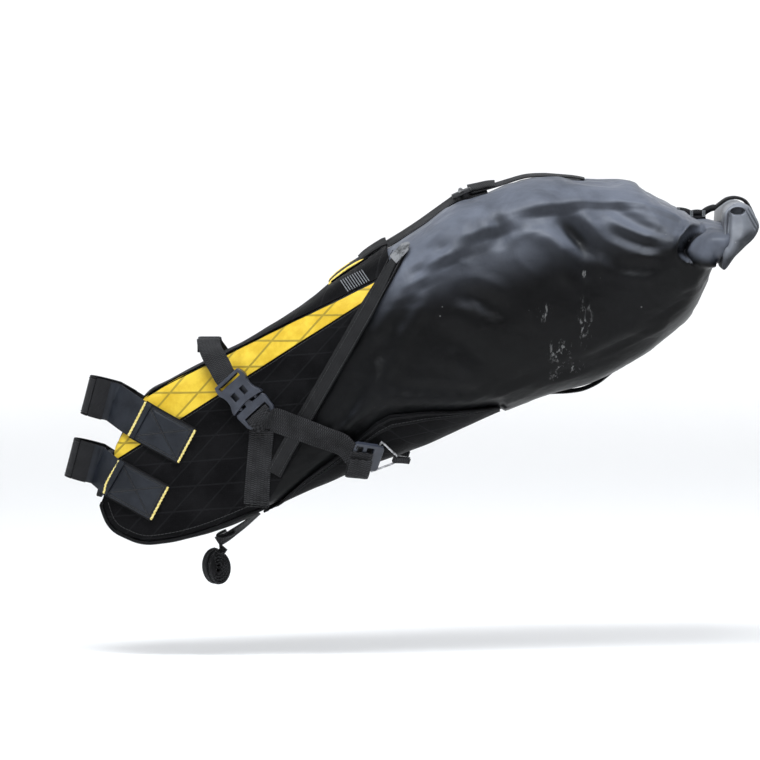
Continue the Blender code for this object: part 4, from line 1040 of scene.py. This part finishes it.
def build_patch(level, side, hand):
    """One stitched patch, its crossed seams pulled in, with a bartack at each end and bound edges."""
    ending = "_%s_%s" % (level, hand)
    low_start, high_start, low_end, high_end = patch_corners(level)
    pairs = ((low_start, high_end), (high_start, low_end), (high_end, low_start), (low_end, high_start))
    a, b, c, d = (corner + (opposite - corner) * 0.07 for corner, opposite in pairs)
    seams = ((a, b), (b, c), (c, d), (d, a), (a, c), (b, d))
    grid = side_grid([low_start, low_end], [high_start, high_end], 84, 58)
    points, normals = side_frames(grid, side)
    pull = np.max([np.exp(-(segment_distance(grid, *ends) / 0.0016) ** 2) for ends in seams], axis=0)
    points = points - normals * (0.0007 * pull)[..., None]
    patch = shell("strap_patch" + ending, points, normals, LAYER, PATCH_THICKNESS, "patch_fabric", grid)
    settle(patch, "pack")
    top = LAYER + PATCH_THICKNESS
    lines = [side_line(ends, top - 0.0006, side) for ends in seams]
    stitches("patch_stitching" + ending, lines, 0.00050)
    over = ROOT_LIFT + STRAP_THICKNESS / 2.0
    for place, low, high, lift in (("front", low_start, high_start, over), ("rear", low_end, high_end, top)):
        inset = (high - low) * 0.03
        bartack("bartack_%s_%s_%s" % (level, place, hand), low + inset, high - inset, lift, side)
    edges = [side_line(ends, top - 0.0004, side)[0]
             for ends in ((low_start, low_end), (high_start, high_end))]
    bars("patch_edging" + ending, edges, 0.0009, "binding", 8)


def build_patches():
    for level in PATCHES:
        for side, hand in SIDES:
            build_patch(level, side, hand)


def across_patch(level, behind, side):
    """Middle and upward direction of the strap where it lies on its patch, behind its front edge."""
    centre = np.array(PATCHES[level]) + PATCH_ALONG * behind
    points, normals = side_frames(np.stack([centre - PATCH_UP, centre + PATCH_UP]), side)
    low, high = points + normals * ROOT_LIFT
    return (low + high) / 2.0, unit(high - low)


def strap_route(side, radius, start_angle, end_angle, level):
    """From a patch's front edge, along the post's side, then round its front."""
    matrix = np.array(post_matrix(POST_STRAPS[level]))
    root, patch_up = across_patch(level, -0.0005, side)
    angles = np.radians(np.linspace(start_angle, end_angle, 40))
    arc = np.stack([-POST_RADIUS + radius * np.cos(angles), side * radius * np.sin(angles), 0.0 * angles], -1)
    arc = arc @ matrix[:3, :3].T + matrix[:3, 3]
    path = np.concatenate([curve(np.stack([root, root + (arc[0] - root) * 0.5, arc[0]]), 14)[:-1], arc])
    share = np.clip(np.arange(len(path)) / 13.0, 0.0, 1.0)[:, None]
    return path, patch_up * (1.0 - share) + matrix[:3, 2] * share


def sewn_down(level, side, behinds):
    """Places and upward directions of a strap's root at distances behind its patch's front edge."""
    return map(np.array, zip(*(across_patch(level, behind, side) for behind in behinds)))


def build_loop_half(level):
    """The left half of a seatpost strap: its soft side, with a facing where the hooks grip."""
    roots, ups = sewn_down(level, -1.0, (0.0095, 0.0045))
    path, across = strap_route(-1.0, POST_RADIUS + 0.0014, 58.0, 160.0, level)
    strap("post_strap_loop_" + level, np.concatenate([roots, path]), np.concatenate([ups, across]),
          STRAP_HEIGHT, STRAP_THICKNESS, "patch_fabric")
    path, across = strap_route(-1.0, POST_RADIUS + 0.0034, 84.0, 129.0, level)
    strap("loop_facing_" + level, path[13:], across[13:], STRAP_HEIGHT + 0.001, STRAP_THICKNESS,
          "hook_tape")


def build_hook_half(level):
    """The right half of a seatpost strap: a sewn root, and the hook tape that peels open."""
    roots, ups = sewn_down(level, 1.0, (0.0095, 0.0045, 0.0006))
    strap("hook_root_" + level, roots, ups, STRAP_HEIGHT - 0.001, STRAP_THICKNESS * 0.8,
          "patch_fabric")
    path, across = strap_route(1.0, POST_RADIUS + 0.0038, 58.0, 228.0, level)
    body = "post_strap_" + level
    strap("post_strap_hook_" + level, path, across, STRAP_HEIGHT, STRAP_THICKNESS,
          "hook_tape", body)
    across = unit(across)
    outward = unit(np.cross(tangents(path), across))
    if outward[30] @ (path[30] - path[30:].mean(0)) < 0.0:
        outward = -outward
    path, across, outward = path[4:], across[4:], outward[4:]
    surface = path + outward * STRAP_THICKNESS * 0.55
    half = STRAP_HEIGHT / 2.0
    seams = [(surface + across * sign * (half - 0.0022), outward) for sign in (-1.0, 1.0)]
    stitches("hook_stitching_" + level, seams, 0.00036, body)
    rims = [path + across * sign * (half - 0.0004) for sign in (-1.0, 1.0)]
    bars("hook_edging_" + level, rims, 0.0011, "binding", 8, body=body)


def build_post_straps():
    for level in POST_STRAPS:
        build_loop_half(level)
        build_hook_half(level)


# ---------------------------------------------------------------- webbing, buckles and wire on the sides
def side_matrix(x, z, direction, lift, side):
    """Frame on one side: a along an (x, z) direction, c outwards, b = c x a."""
    u, rise = locate(np.array([[x, z]]))
    point, normal = ring_frames(u, side_angles(u, rise))
    normal = Vector(normal[0])
    along = Vector((direction[0], 0.0, direction[1]))
    along = (along - normal * along.dot(normal)).normalized()
    across = normal.cross(along)
    matrix = Matrix((along, across, normal)).transposed().to_4x4()
    matrix.translation = Vector(point[0]) + normal * lift
    return Matrix.Scale(-1.0, 4, Vector((0.0, 1.0, 0.0))) @ matrix if side > 0.0 else matrix


def buckle_matrix(side):
    top, end = Vector(BUCKLE_TOP), Vector(BUCKLE_END)
    direction = (top - end).normalized()
    mouth = top - direction * FEMALE_LENGTH
    return side_matrix(mouth.x, mouth.y, direction, BUCKLE_LIFT, side)


def ladder_matrix(side):
    start, end = Vector(LOWER_STRAP[0]), Vector(LOWER_STRAP[1])
    return side_matrix(LADDER_CENTRE[0], LADDER_CENTRE[1], (end - start).normalized(), LADDER_LIFT, side)


def in_frame(matrix, points):
    """Points given in a local frame, moved to the shared frame."""
    matrix = np.array(matrix)
    return np.asarray(points, float) @ matrix[:3, :3].T + matrix[:3, 3]


def axis_of(matrix, column):
    return np.array(matrix)[:3, column]


def build_side_webbing():
    for side, hand in SIDES:
        grid, cloth = band_grid([(0.1575, 0.0400), (0.1512, -0.0330)], 0.0240, 60, 8)
        skin("side_webbing_" + hand, grid, side, LAYER - 0.0006, WEBBING, "webbing", cloth)


# Middle line of a left rail strap past its buckle: up the side, over the rail's place and down.
RAIL_ROUTE = np.array([(0.1150, -0.0520, 0.1030), (0.1090, -0.0475, 0.1130), (0.1050, -0.0360, 0.1215),
                       (0.1040, -0.0290, 0.1262), (0.1040, -0.0220, 0.1266), (0.1040, -0.0155, 0.1262),
                       (0.1040, -0.0128, 0.1225), (0.1040, -0.0118, 0.1135)])


def build_rail_straps():
    for side, hand in SIDES:
        matrix = buckle_matrix(side)
        start = in_frame(matrix, [(0.0290, 0.0, 0.0046), (0.0320, 0.0, 0.0060), (0.0370, 0.0, 0.0045)])
        route = np.concatenate([start, RAIL_ROUTE * np.array([1.0, -side, 1.0])])
        across = np.array([axis_of(matrix, 1)] * 3 + [(-0.88, 0.0, -0.47), (-0.97, 0.0, -0.25)]
                          + [(-1.0, 0.0, 0.0)] * 6)
        across = across * np.where(np.sum(across * across[0], -1, keepdims=True) < 0.0, -1.0, 1.0)
        strap("rail_strap_" + hand, curve(route, 70), curve(across, 70), 0.0225, WEBBING)


def build_buckles():
    for side, hand in SIDES:
        moulded("buckle_female_" + hand, "slate_plastic", "pack", 0.0006)
        moulded("buckle_male_" + hand, "slate_plastic", "buckle_" + hand, 0.0006)
        for name in ("prong_upper_" + hand, "prong_lower_" + hand):
            moulded(name, "slate_plastic", name, 0.0006)
        moulded("ladderlock_" + hand, "slate_plastic", "ladderlock_" + hand, 0.0008)


# Where each lower strap is split between its joints, as shares of its length.
LOWER_STRAP_CUTS = (0.58, 0.86)


def build_lower_straps():
    for side, hand in SIDES:
        buckle = buckle_matrix(side)
        ladder = ladder_matrix(side)
        loop = in_frame(buckle, [(-0.0150, 0.0, 0.0012), (-0.0120, 0.0, 0.0062), (-0.0170, 0.0, 0.0086),
                                 (-0.0235, 0.0, 0.0076)])
        middle, normals = side_frames(resample([(0.1700, 0.0500), (0.2360, 0.0275)], 5), side)
        middle = middle + normals * (LAYER + 0.0050)
        finish = in_frame(ladder, [(-0.0140, 0.0, 0.0036), (-0.0080, 0.0, 0.0016), (-0.0035, 0.0, 0.0034)])
        route = np.concatenate([loop, middle, finish])
        start_across, end_across = axis_of(buckle, 1), axis_of(ladder, 1)
        start_across = start_across * np.sign(start_across @ end_across)
        share = np.clip(np.linspace(0.0, 1.0, len(route))[:, None] * 1.8 - 0.3, 0.0, 1.0)
        path = curve(route, 90)
        across = curve(start_across * (1.0 - share) + end_across * share, 90)
        share = run_length(path) / run_length(path)[-1]
        cuts = [0] + [int(np.searchsorted(share, at)) for at in LOWER_STRAP_CUTS] + [len(path) - 1]
        for number, part in enumerate(("lower_strap_", "lower_strap_middle_", "lower_strap_end_")):
            run = slice(cuts[number], cuts[number + 1] + 1)
            item = strap(part + hand, path[run], across[run], 0.0250, WEBBING, body=None)
            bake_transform(item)


RING_START = LADDER_LENGTH / 2.0 - 0.0042      # where the ring's wire passes through the ladder lock
RING_HOOK = RING_START + RING_LENGTH           # and where it hangs in its tab
TAB_BEND = 0.0023


def rounded_corners(corners, cut):
    """A closed outline with each corner replaced by a small curve."""
    outline = []
    for k, corner in enumerate(corners):
        before = corner + unit(corners[k - 1] - corner) * cut
        after = corner + unit(corners[(k + 1) % len(corners)] - corner) * cut
        for t in (0.0, 0.25, 0.5, 0.75, 1.0):
            outline.append(before * (1 - t) ** 2 + 2 * corner * t * (1 - t) + after * t ** 2)
    return outline


def build_rings():
    """Triangular wire rings, their tabs and the spare ends of the lower straps."""
    base, apex = 0.0185, 0.0045
    corners = np.array([(RING_START, base), (RING_HOOK, apex), (RING_HOOK, -apex), (RING_START, -base)])
    turn = np.radians(np.linspace(100.0, 260.0, 12))
    tab_route = [(RING_HOOK + 0.0150, 0.0, 0.0006), (RING_HOOK + 0.0060, 0.0, 0.0014)]
    tab_route += [(RING_HOOK + TAB_BEND * math.cos(t), 0.0, 0.0005 + TAB_BEND * math.sin(t)) for t in turn]
    tab_route += [(RING_HOOK + 0.0060, 0.0, -0.0018), (RING_HOOK + 0.0150, 0.0, -0.0022)]
    tail_route = np.array([(-0.0060, 0.0060, 0.0008), (-0.0058, -0.0030, 0.0016), (-0.0052, -0.0140, 0.0014),
                           (-0.0050, -0.0195, 0.0030), (-0.0052, -0.0205, 0.0056), (-0.0056, -0.0160, 0.0078),
                           (-0.0060, -0.0060, 0.0072), (-0.0062, 0.0000, 0.0052)]) + (0.0, 0.0, LADDER_HEIGHT)
    for side, hand in SIDES:
        matrix = ladder_matrix(side)
        wire = in_frame(matrix, [(a, b, 0.0005) for a, b in rounded_corners(corners, 0.0018)])
        bars("ring_" + hand, [wire], 0.00105, "steel_wire", 12, True, "ring_" + hand)
        strap("ring_tab_" + hand, curve(in_frame(matrix, tab_route), 50), axis_of(matrix, 1), 0.0062, 0.0011)
        across = unit(axis_of(matrix, 0) + 0.06 * axis_of(matrix, 1))
        strap("strap_tail_" + hand, curve(in_frame(matrix, tail_route), 50), across, 0.0225, 0.0020,
              body="ladderlock_" + hand)


# ---------------------------------------------------------------- top strap, roll-top, hanging tail
def outline_points(xs, lifts, edge):
    """Points outside the bag's middle line, above its high edge (2) or below its low edge (0)."""
    u = np.linspace(0.0, BAG_END, 1701)
    at = np.interp(xs, section(u)[:, edge], u)
    line = section(at)[:, edge:edge + 2]
    step = section(at + 0.1)[:, edge:edge + 2] - section(at - 0.1)[:, edge:edge + 2]
    normal = unit(np.stack([-step[:, 1], step[:, 0]], -1)) * (edge - 1)
    line = line + normal * np.asarray(lifts)[:, None]
    return np.stack([line[:, 0], 0.0 * line[:, 0], line[:, 1]], -1)


# Straps on the bag's middle line: (x, height over the bag) along each, points on its curve, how
# its width direction tilts at its two ends, width, thickness and finish.
MIDDLE_STRAPS = {
    "top_strap_backing": ([(0.334, 0.0000), (0.345, 0.0008), (0.356, 0.0010), (0.368, 0.0008),
                           (0.378, 0.0000)], 30, (0.30, 0.30), 0.020, 0.0020, "webbing"),
    "top_strap_front": ([(0.246, 0.0034), (0.262, 0.0032), (0.280, 0.0018), (0.295, 0.0009),
                         (0.310, 0.0009), (0.325, 0.0015), (0.343, 0.0034), (0.350, 0.0050)],
                        60, (0.30, 0.30), 0.0245, 0.0018, "webbing"),
    "top_strap_rear": ([(0.362, 0.0058), (0.368, 0.0040), (0.385, 0.0026), (0.400, 0.0034), (0.416, 0.0048),
                        (0.432, 0.0040), (0.448, 0.0022), (0.464, 0.0010), (0.474, -0.0004)],
                       80, (0.25, 0.05), 0.020, 0.0018, "webbing"),
    "top_strap_spare_end": ([(0.362, 0.0086), (0.370, 0.0072), (0.380, 0.0060), (0.387, 0.0044)],
                            30, (0.30, 0.30), 0.020, 0.0020, "webbing"),
    "top_strap_cover": ([(0.2555, 0.0052), (0.2610, 0.0064), (0.2700, 0.0066), (0.2780, 0.0060),
                         (0.2815, 0.0048)], 36, (0.30, 0.30), 0.0225, 0.0024, "binding"),
    "top_strap_anchor": ([(0.2235, 0.0010), (0.2260, 0.0030), (0.2340, 0.0042), (0.2460, 0.0046),
                          (0.2560, 0.0036), (0.2590, 0.0016)], 50, (0.10, 0.10), 0.026, 0.0018, "webbing"),
}


def build_top_strap():
    paths = {}
    for name, (route, count, (first, last), width, thickness, finish) in MIDDLE_STRAPS.items():
        paths[name] = curve(outline_points(*zip(*route), 2), count)
        tilt = np.linspace(first, last, count)
        across = unit(np.stack([0.0 * tilt, 1.0 + 0.0 * tilt, tilt], -1))
        strap(name, paths[name], across, width, thickness, finish)
    rims = [paths["top_strap_anchor"] + np.array([0.0, y, 0.10 * y]) for y in (-0.0128, 0.0128)]
    bars("anchor_edging", rims, 0.0013, "yellow_thread", 8)
    base = curve(outline_points((0.226, 0.238, 0.250, 0.262), (SKIN + 0.0012,) * 4, 2), 24)
    strap("anchor_base", base, (0.0, 1.0, 0.0), 0.034, 0.0016, sag=0.0020)
    for side, hand in SIDES:
        ribs = []
        for x in np.linspace(0.2420, 0.2625, 10):
            foot = 0.1758 + (x - 0.2444) * 0.50
            ribs.append(side_line([(x, foot), (x - 0.0070, foot + 0.0095)], SKIN + 0.0006, side, 16)[0])
        bars("anchor_bartacks_" + hand, ribs, 0.00055, "grey_thread", 6)
    moulded("top_buckle", "black_plastic", "top_buckle", 0.0007)
    bar = outline_points((0.3555,), (0.0090,), 2) + [(0.0, y, 0.0) for y in (-0.0135, 0.0, 0.0135)]
    bars("top_buckle_bar", [bar], 0.0026, "steel_wire", 14, body="top_buckle")


def build_underside_loop():
    route = ((0.440, 0.0004), (0.4440, 0.0014), (0.4560, 0.0044), (0.4710, 0.0062),
             (0.4860, 0.0048), (0.4990, 0.0016), (0.503, 0.0004))
    path = curve(outline_points(*zip(*route), 0), 50)
    strap("underside_loop", path, (0.0, 1.0, 0.14), 0.016, 0.0020)


ROLL_OUTLINE = [(0.6052, 0.1985), (0.6165, 0.2105), (0.6270, 0.2210), (0.6372, 0.2325), (0.6402, 0.2405),
                (0.6370, 0.2495), (0.6315, 0.2595), (0.6235, 0.2625), (0.6145, 0.2610), (0.6078, 0.2540),
                (0.6066, 0.2400), (0.6060, 0.2200)]
ROLL_CORE = (0.6195, 0.2500)
STIFFENER_SHARE = 0.90     # how much of its CAD length the strip shows, to end inside the tilted ends
ROLL_EYE = (0.6195, 0.2545)
# Creases in the roll's ends: start (x, z), end (x, z), width and depth.
ROLL_CREASES = [((0.6115, 0.2530), (0.6095, 0.2180), 0.0018, 0.0040),
                ((0.6265, 0.2560), (0.6378, 0.2345), 0.0008, 0.0017),
                ((0.6292, 0.2575), (0.6395, 0.2375), 0.0008, 0.0017)]


def crease_along(xz, start, end):
    """Signed distance beside a crease, and how strong the crease is there."""
    start, end = np.array(start), np.array(end)
    heading = unit(end - start)
    length = np.linalg.norm(end - start)
    along = (xz - start) @ heading
    off = (xz - start) @ np.array([heading[1], -heading[0]])
    return off, smooth(-0.003, 0.004, along) * smooth(length + 0.004, length - 0.006, along)


def build_roll():
    """The rolled mouth: a long fin-shaped roll whose ends show its folds."""
    around, lengths, caps = 170, 90, 56
    ring = curve(ROLL_OUTLINE, around, closed=True)
    core = np.array(ROLL_CORE)
    shares = np.concatenate([np.linspace(0.02, 1.0, caps), np.ones(lengths), np.linspace(1.0, 0.02, caps)])
    along = np.concatenate([np.full(caps, -1.0), np.linspace(-1.0, 1.0, lengths), np.full(caps, 1.0)])
    ys = along * ROLL_HALF
    share = shares[:, None] * np.ones((1, around))
    flat = core + (ring - core)[None, :, :] * share[..., None]
    points = np.stack([flat[..., 0], ys[:, None] + 0.0 * share, flat[..., 1]], -1)
    eye = np.hypot((flat[..., 0] - ROLL_EYE[0]) / 0.0066, (flat[..., 1] - ROLL_EYE[1]) / 0.0036)
    depth = 0.0100 * smooth(1.15, 0.80, eye) + 0.0022 * smooth(0.84, 1.0, share) ** 2
    for start, end, width, deep in ROLL_CREASES:
        off, strength = crease_along(flat, start, end)
        depth = depth + deep * strength * np.exp(-(off / width) ** 2)
    depth -= 0.0030 * np.exp(-((flat[..., 0] - 0.6230) / 0.0075) ** 2) * smooth(1.0, 0.7, share)
    depth -= 0.0050 * np.exp(-((flat[..., 1] - 0.2180) / 0.0180) ** 2) * smooth(1.05, 0.55, share)
    depth += 0.0014 * noise_field(points, 60.0, 2.0, (1.0, 0.25, 1.0)) + 0.26 * (flat[..., 1] - 0.1985)
    points[..., 1] -= (along ** 3)[:, None] * depth
    radial = unit(np.stack([flat[..., 0] - core[0], 0.0 * share, flat[..., 1] - core[1]], -1))
    crease = (0.0011 * noise_field(points, 70.0, 8.0, (1.0, 0.14, 1.0))
              + 0.0012 * noise_field(points, 24.0, 5.0, (1.0, 0.5, 1.0)))
    pinch = 0.0022 * np.exp(-(points[..., 1] / 0.022) ** 2)
    points += radial * ((crease - pinch) * smooth(0.5, 1.0, share))[..., None]
    cloth = np.stack([points[..., 1], 0.15 * share], -1)
    item = make_piece("roll_top", points, tube_faces(*share.shape), "rolled_fabric", cloth, 70.0)
    settle(item, "roll_top")
    strip = moulded("roll_stiffener", "stiffener", "roll_top", 0.0004)
    strip.data.transform(Matrix.Diagonal((1.0, STIFFENER_SHARE, 1.0, 1.0)))


def middle_points(xz, y=0.0):
    """(x, z) points in the bag's middle plane, or beside it at y."""
    return np.array([(x, y, z) for x, z in xz])


def build_roll_strap():
    """Webbing loops from the bag's top over the roll."""
    across = (0.0, 1.0, 0.0)
    base = curve(middle_points([(0.5600, 0.2530), (0.5720, 0.2475), (0.5840, 0.2460), (0.5930, 0.2468)]), 40)
    strap("daisy_chain", base, across, 0.022, 0.0040, "hook_tape")
    over = [(0.6040, 0.2568), (0.6080, 0.2600), (0.6150, 0.2645), (0.6240, 0.2655),
            (0.6325, 0.2620), (0.6385, 0.2520), (0.6420, 0.2420), (0.6405, 0.2340)]
    strap("roll_strap", curve(middle_points(over), 70), across, 0.022, 0.0030, "hook_tape", "roll_top")
    chain = middle_points([(0.5660, 0.2512), (0.5790, 0.2478), (0.5910, 0.2482), (0.6035, 0.2545)])
    for number, (a, b) in enumerate(zip(chain[:-1], chain[1:])):
        run = b - a
        rise = unit(np.array([-run[2], 0.0, run[0]]))
        arch = [a, a + run * 0.08 + rise * 0.0020, (a + b) / 2 + rise * 0.0028,
                b - run * 0.08 + rise * 0.0020, b]
        last = number == 2
        item = strap("daisy_loop_%d" % (number + 1), curve(arch, 26), across, 0.020, 0.0056, "hook_tape",
                     None if last else "pack")
        if last:
            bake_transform(item)
    tacks = [link + [(0.0, y, 0.0036) for y in np.linspace(-0.0112, 0.0112, 7)] for link in chain[:3]]
    tacks += [link + [(dx, -0.0114, -0.0012), (dx, -0.0114, 0.0052)]
              for link in chain[:3] for dx in (-0.0007, 0.0009)]
    bars("daisy_tacks", tacks, 0.0009, "grey_thread", 6)


BELLY_Y = -0.004
COIL_CENTRE = np.array([0.1115, BELLY_Y, -0.0990])
COIL_RADIUS = 0.0142
COIL_STEP = 0.0030         # how much the radius shrinks in one turn
COIL_START = math.radians(75.0)
COIL_TURNS = 4.275
COIL_ACROSS = np.array([-0.48, 0.88, 0.0])


def coil(angle, over=0.0):
    """Points of the rolled spare strap's spiral, at a height over its own middle line."""
    radius = COIL_RADIUS - COIL_STEP * (angle - COIL_START) / (2.0 * math.pi)
    return COIL_CENTRE + np.stack([(0.74 * radius + over) * np.cos(angle), 0.0 * angle,
                                   (1.12 * radius + over) * np.sin(angle)], -1)


def build_belly_and_tail():
    route = [(0.1530, -0.0455), (0.1475, -0.0500), (0.1400, -0.0562), (0.1310, -0.0627),
             (0.1215, -0.0692), (0.1120, -0.0742)]
    twist = np.radians(np.linspace(14.0, 36.0, 50))
    across = np.stack([0.0 * twist, np.cos(twist), -np.sin(twist)], -1)
    strap("belly_strap", curve(middle_points(route, BELLY_Y), 50), across, 0.020, 0.0020)
    fold = [(0.1300, -0.0650), (0.1225, -0.0690), (0.1150, -0.0702), (0.1122, -0.0682),
            (0.1150, -0.0656), (0.1205, -0.0630)]
    strap("belly_strap_fold", curve(middle_points(fold, BELLY_Y), 40), unit(np.array([0.0, 1.0, -0.10])),
          0.0195, 0.0026)
    neck = middle_points([(0.1180, -0.0790), (0.1166, -0.0818)], BELLY_Y)
    path = np.concatenate([neck, coil(np.linspace(COIL_START, COIL_START + 2.0 * math.pi * COIL_TURNS, 172))])
    path[:, 1] -= 0.10 * (path[:, 0] - COIL_CENTRE[0])
    strap("strap_tail_roll", path, COIL_ACROSS, 0.0200, 0.0029, body="hanging_tail")
    band = coil(np.radians(np.linspace(98.0, 412.0, 60)), 0.0022)
    strap("tail_keeper", band, COIL_ACROSS, 0.0100, 0.0014, "hook_tape", "hanging_tail")


def build_seams():
    """Rows of stitching on the holster's side panels."""
    edge = curve(SIDE_LOW, 160)
    heading = tangents(edge)
    inside = edge + np.stack([-heading[:, 1], heading[:, 0]], -1) * 0.0062
    start, end = np.array([0.1700, -0.0010]), np.array([0.2915, 0.2105])
    normal = unit(np.array([-(end - start)[1], (end - start)[0]]))
    for side, hand in SIDES:
        lines = [side_line(inside[4:-3], SKIN, side, 200)]
        for offset in (-0.0050, 0.0050):
            lines.append(side_line([start + normal * offset, end + normal * offset], LAYER + SKIN, side))
        lines.append(side_line([(0.0075, 0.0017), (0.2640, 0.1677)], SKIN, side))
        stitches("holster_stitching_" + hand, lines)
        rows = [side_line([(x - 0.0105, z - dz), (x + 0.0105, z - dz)], LAYER + 0.0011, side)
                for x, z in ((0.1573, 0.0375), (0.1515, -0.0295)) for dz in (0.0, 0.0022, 0.0044)]
        stitches("webbing_stitching_" + hand, rows, 0.00040)


# ---------------------------------------------------------------- studio
TARGET = (0.2726, -0.0700, 0.0892)
CAMERA_ELEVATION = math.radians(3.0)
CAMERA_DISTANCE = 6.0
VIEW_WIDTH = 0.7415        # width of the view in the plane through the target
FLOOR = -0.190
FLOOR_RADIUS = 6.8
WALL_BEND = 1.6
WALL_HEIGHT = 4.5


def area_light(name, place, target, size, power, colour=(1.0, 1.0, 1.0)):
    data = bpy.data.lights.new(name, "AREA")
    data.shape = "RECTANGLE"
    data.size, data.size_y = size
    data.energy = power
    data.color = colour
    item = place_object(name, data)
    item.location = place
    item.rotation_euler = (Vector(target) - Vector(place)).to_track_quat("-Z", "Y").to_euler()


def build_camera():
    data = bpy.data.cameras.new("camera")
    data.sensor_width = 36.0
    data.lens = data.sensor_width * CAMERA_DISTANCE / VIEW_WIDTH
    data.clip_end = 50.0
    camera = place_object("camera", data)
    back = Vector((0.0, -math.cos(CAMERA_ELEVATION), math.sin(CAMERA_ELEVATION)))
    camera.location = Vector(TARGET) + back * CAMERA_DISTANCE
    camera.rotation_euler = (-back).to_track_quat("-Z", "Y").to_euler()
    bpy.context.scene.camera = camera


def build_backdrop():
    """A floor that curves up into a back wall, all round the object."""
    bend = np.linspace(0.0, math.pi / 2.0, 14)
    profile = [(FLOOR_RADIUS + WALL_BEND * math.sin(t), WALL_BEND * (1.0 - math.cos(t))) for t in bend]
    profile += [(FLOOR_RADIUS + WALL_BEND, WALL_HEIGHT)]
    turn = 2.0 * math.pi * np.arange(64) / 64
    points = [np.stack([0.3 + r * np.cos(turn), r * np.sin(turn), FLOOR + h + 0.0 * turn], -1)
              for r, h in profile]
    mesh = make_mesh("floor", points, tube_faces(len(profile), len(turn))[:-1])
    mesh.shade_smooth()
    mesh.materials.append(Finish("pale_floor", (0.90, 0.90, 0.90), 0.9).material)
    place_object("floor", mesh)


def build_studio():
    build_camera()
    build_backdrop()
    area_light("sky", (0.20, -1.75, 1.75), (0.32, 0.0, 0.1), (2.6, 1.3), 8.0, (0.90, 0.95, 1.0))
    area_light("key", (0.12, -1.00, 1.70), (0.32, 0.0, 0.1), (1.3, 0.45), 44.0, (0.93, 0.97, 1.0))
    area_light("rear_rim", (1.5, 1.2, 1.4), (0.4, 0.0, 0.15), (1.0, 1.0), 6.0)
    for x in (-3.5, 4.1):
        area_light("backdrop_light", (x, 5.2, 1.5), (0.3, 7.6, -0.1), (1.2, 1.2), 62.0)
    world = bpy.data.worlds.new("studio")
    world.use_nodes = True
    background = world.node_tree.nodes["Background"].inputs
    background["Color"].default_value = (0.92, 0.94, 0.97, 1.0)
    background["Strength"].default_value = 0.86
    bpy.context.scene.world = world
    bpy.context.scene.view_settings.view_transform = "Standard"


build_studio()
build_dry_bag()
build_side_skins()
build_cross_skins()
build_front()
build_patches()
build_post_straps()
build_side_webbing()
build_rail_straps()
build_buckles()
build_lower_straps()
build_rings()
build_top_strap()
build_underside_loop()
build_roll()
build_roll_strap()
build_belly_and_tail()
build_seams()
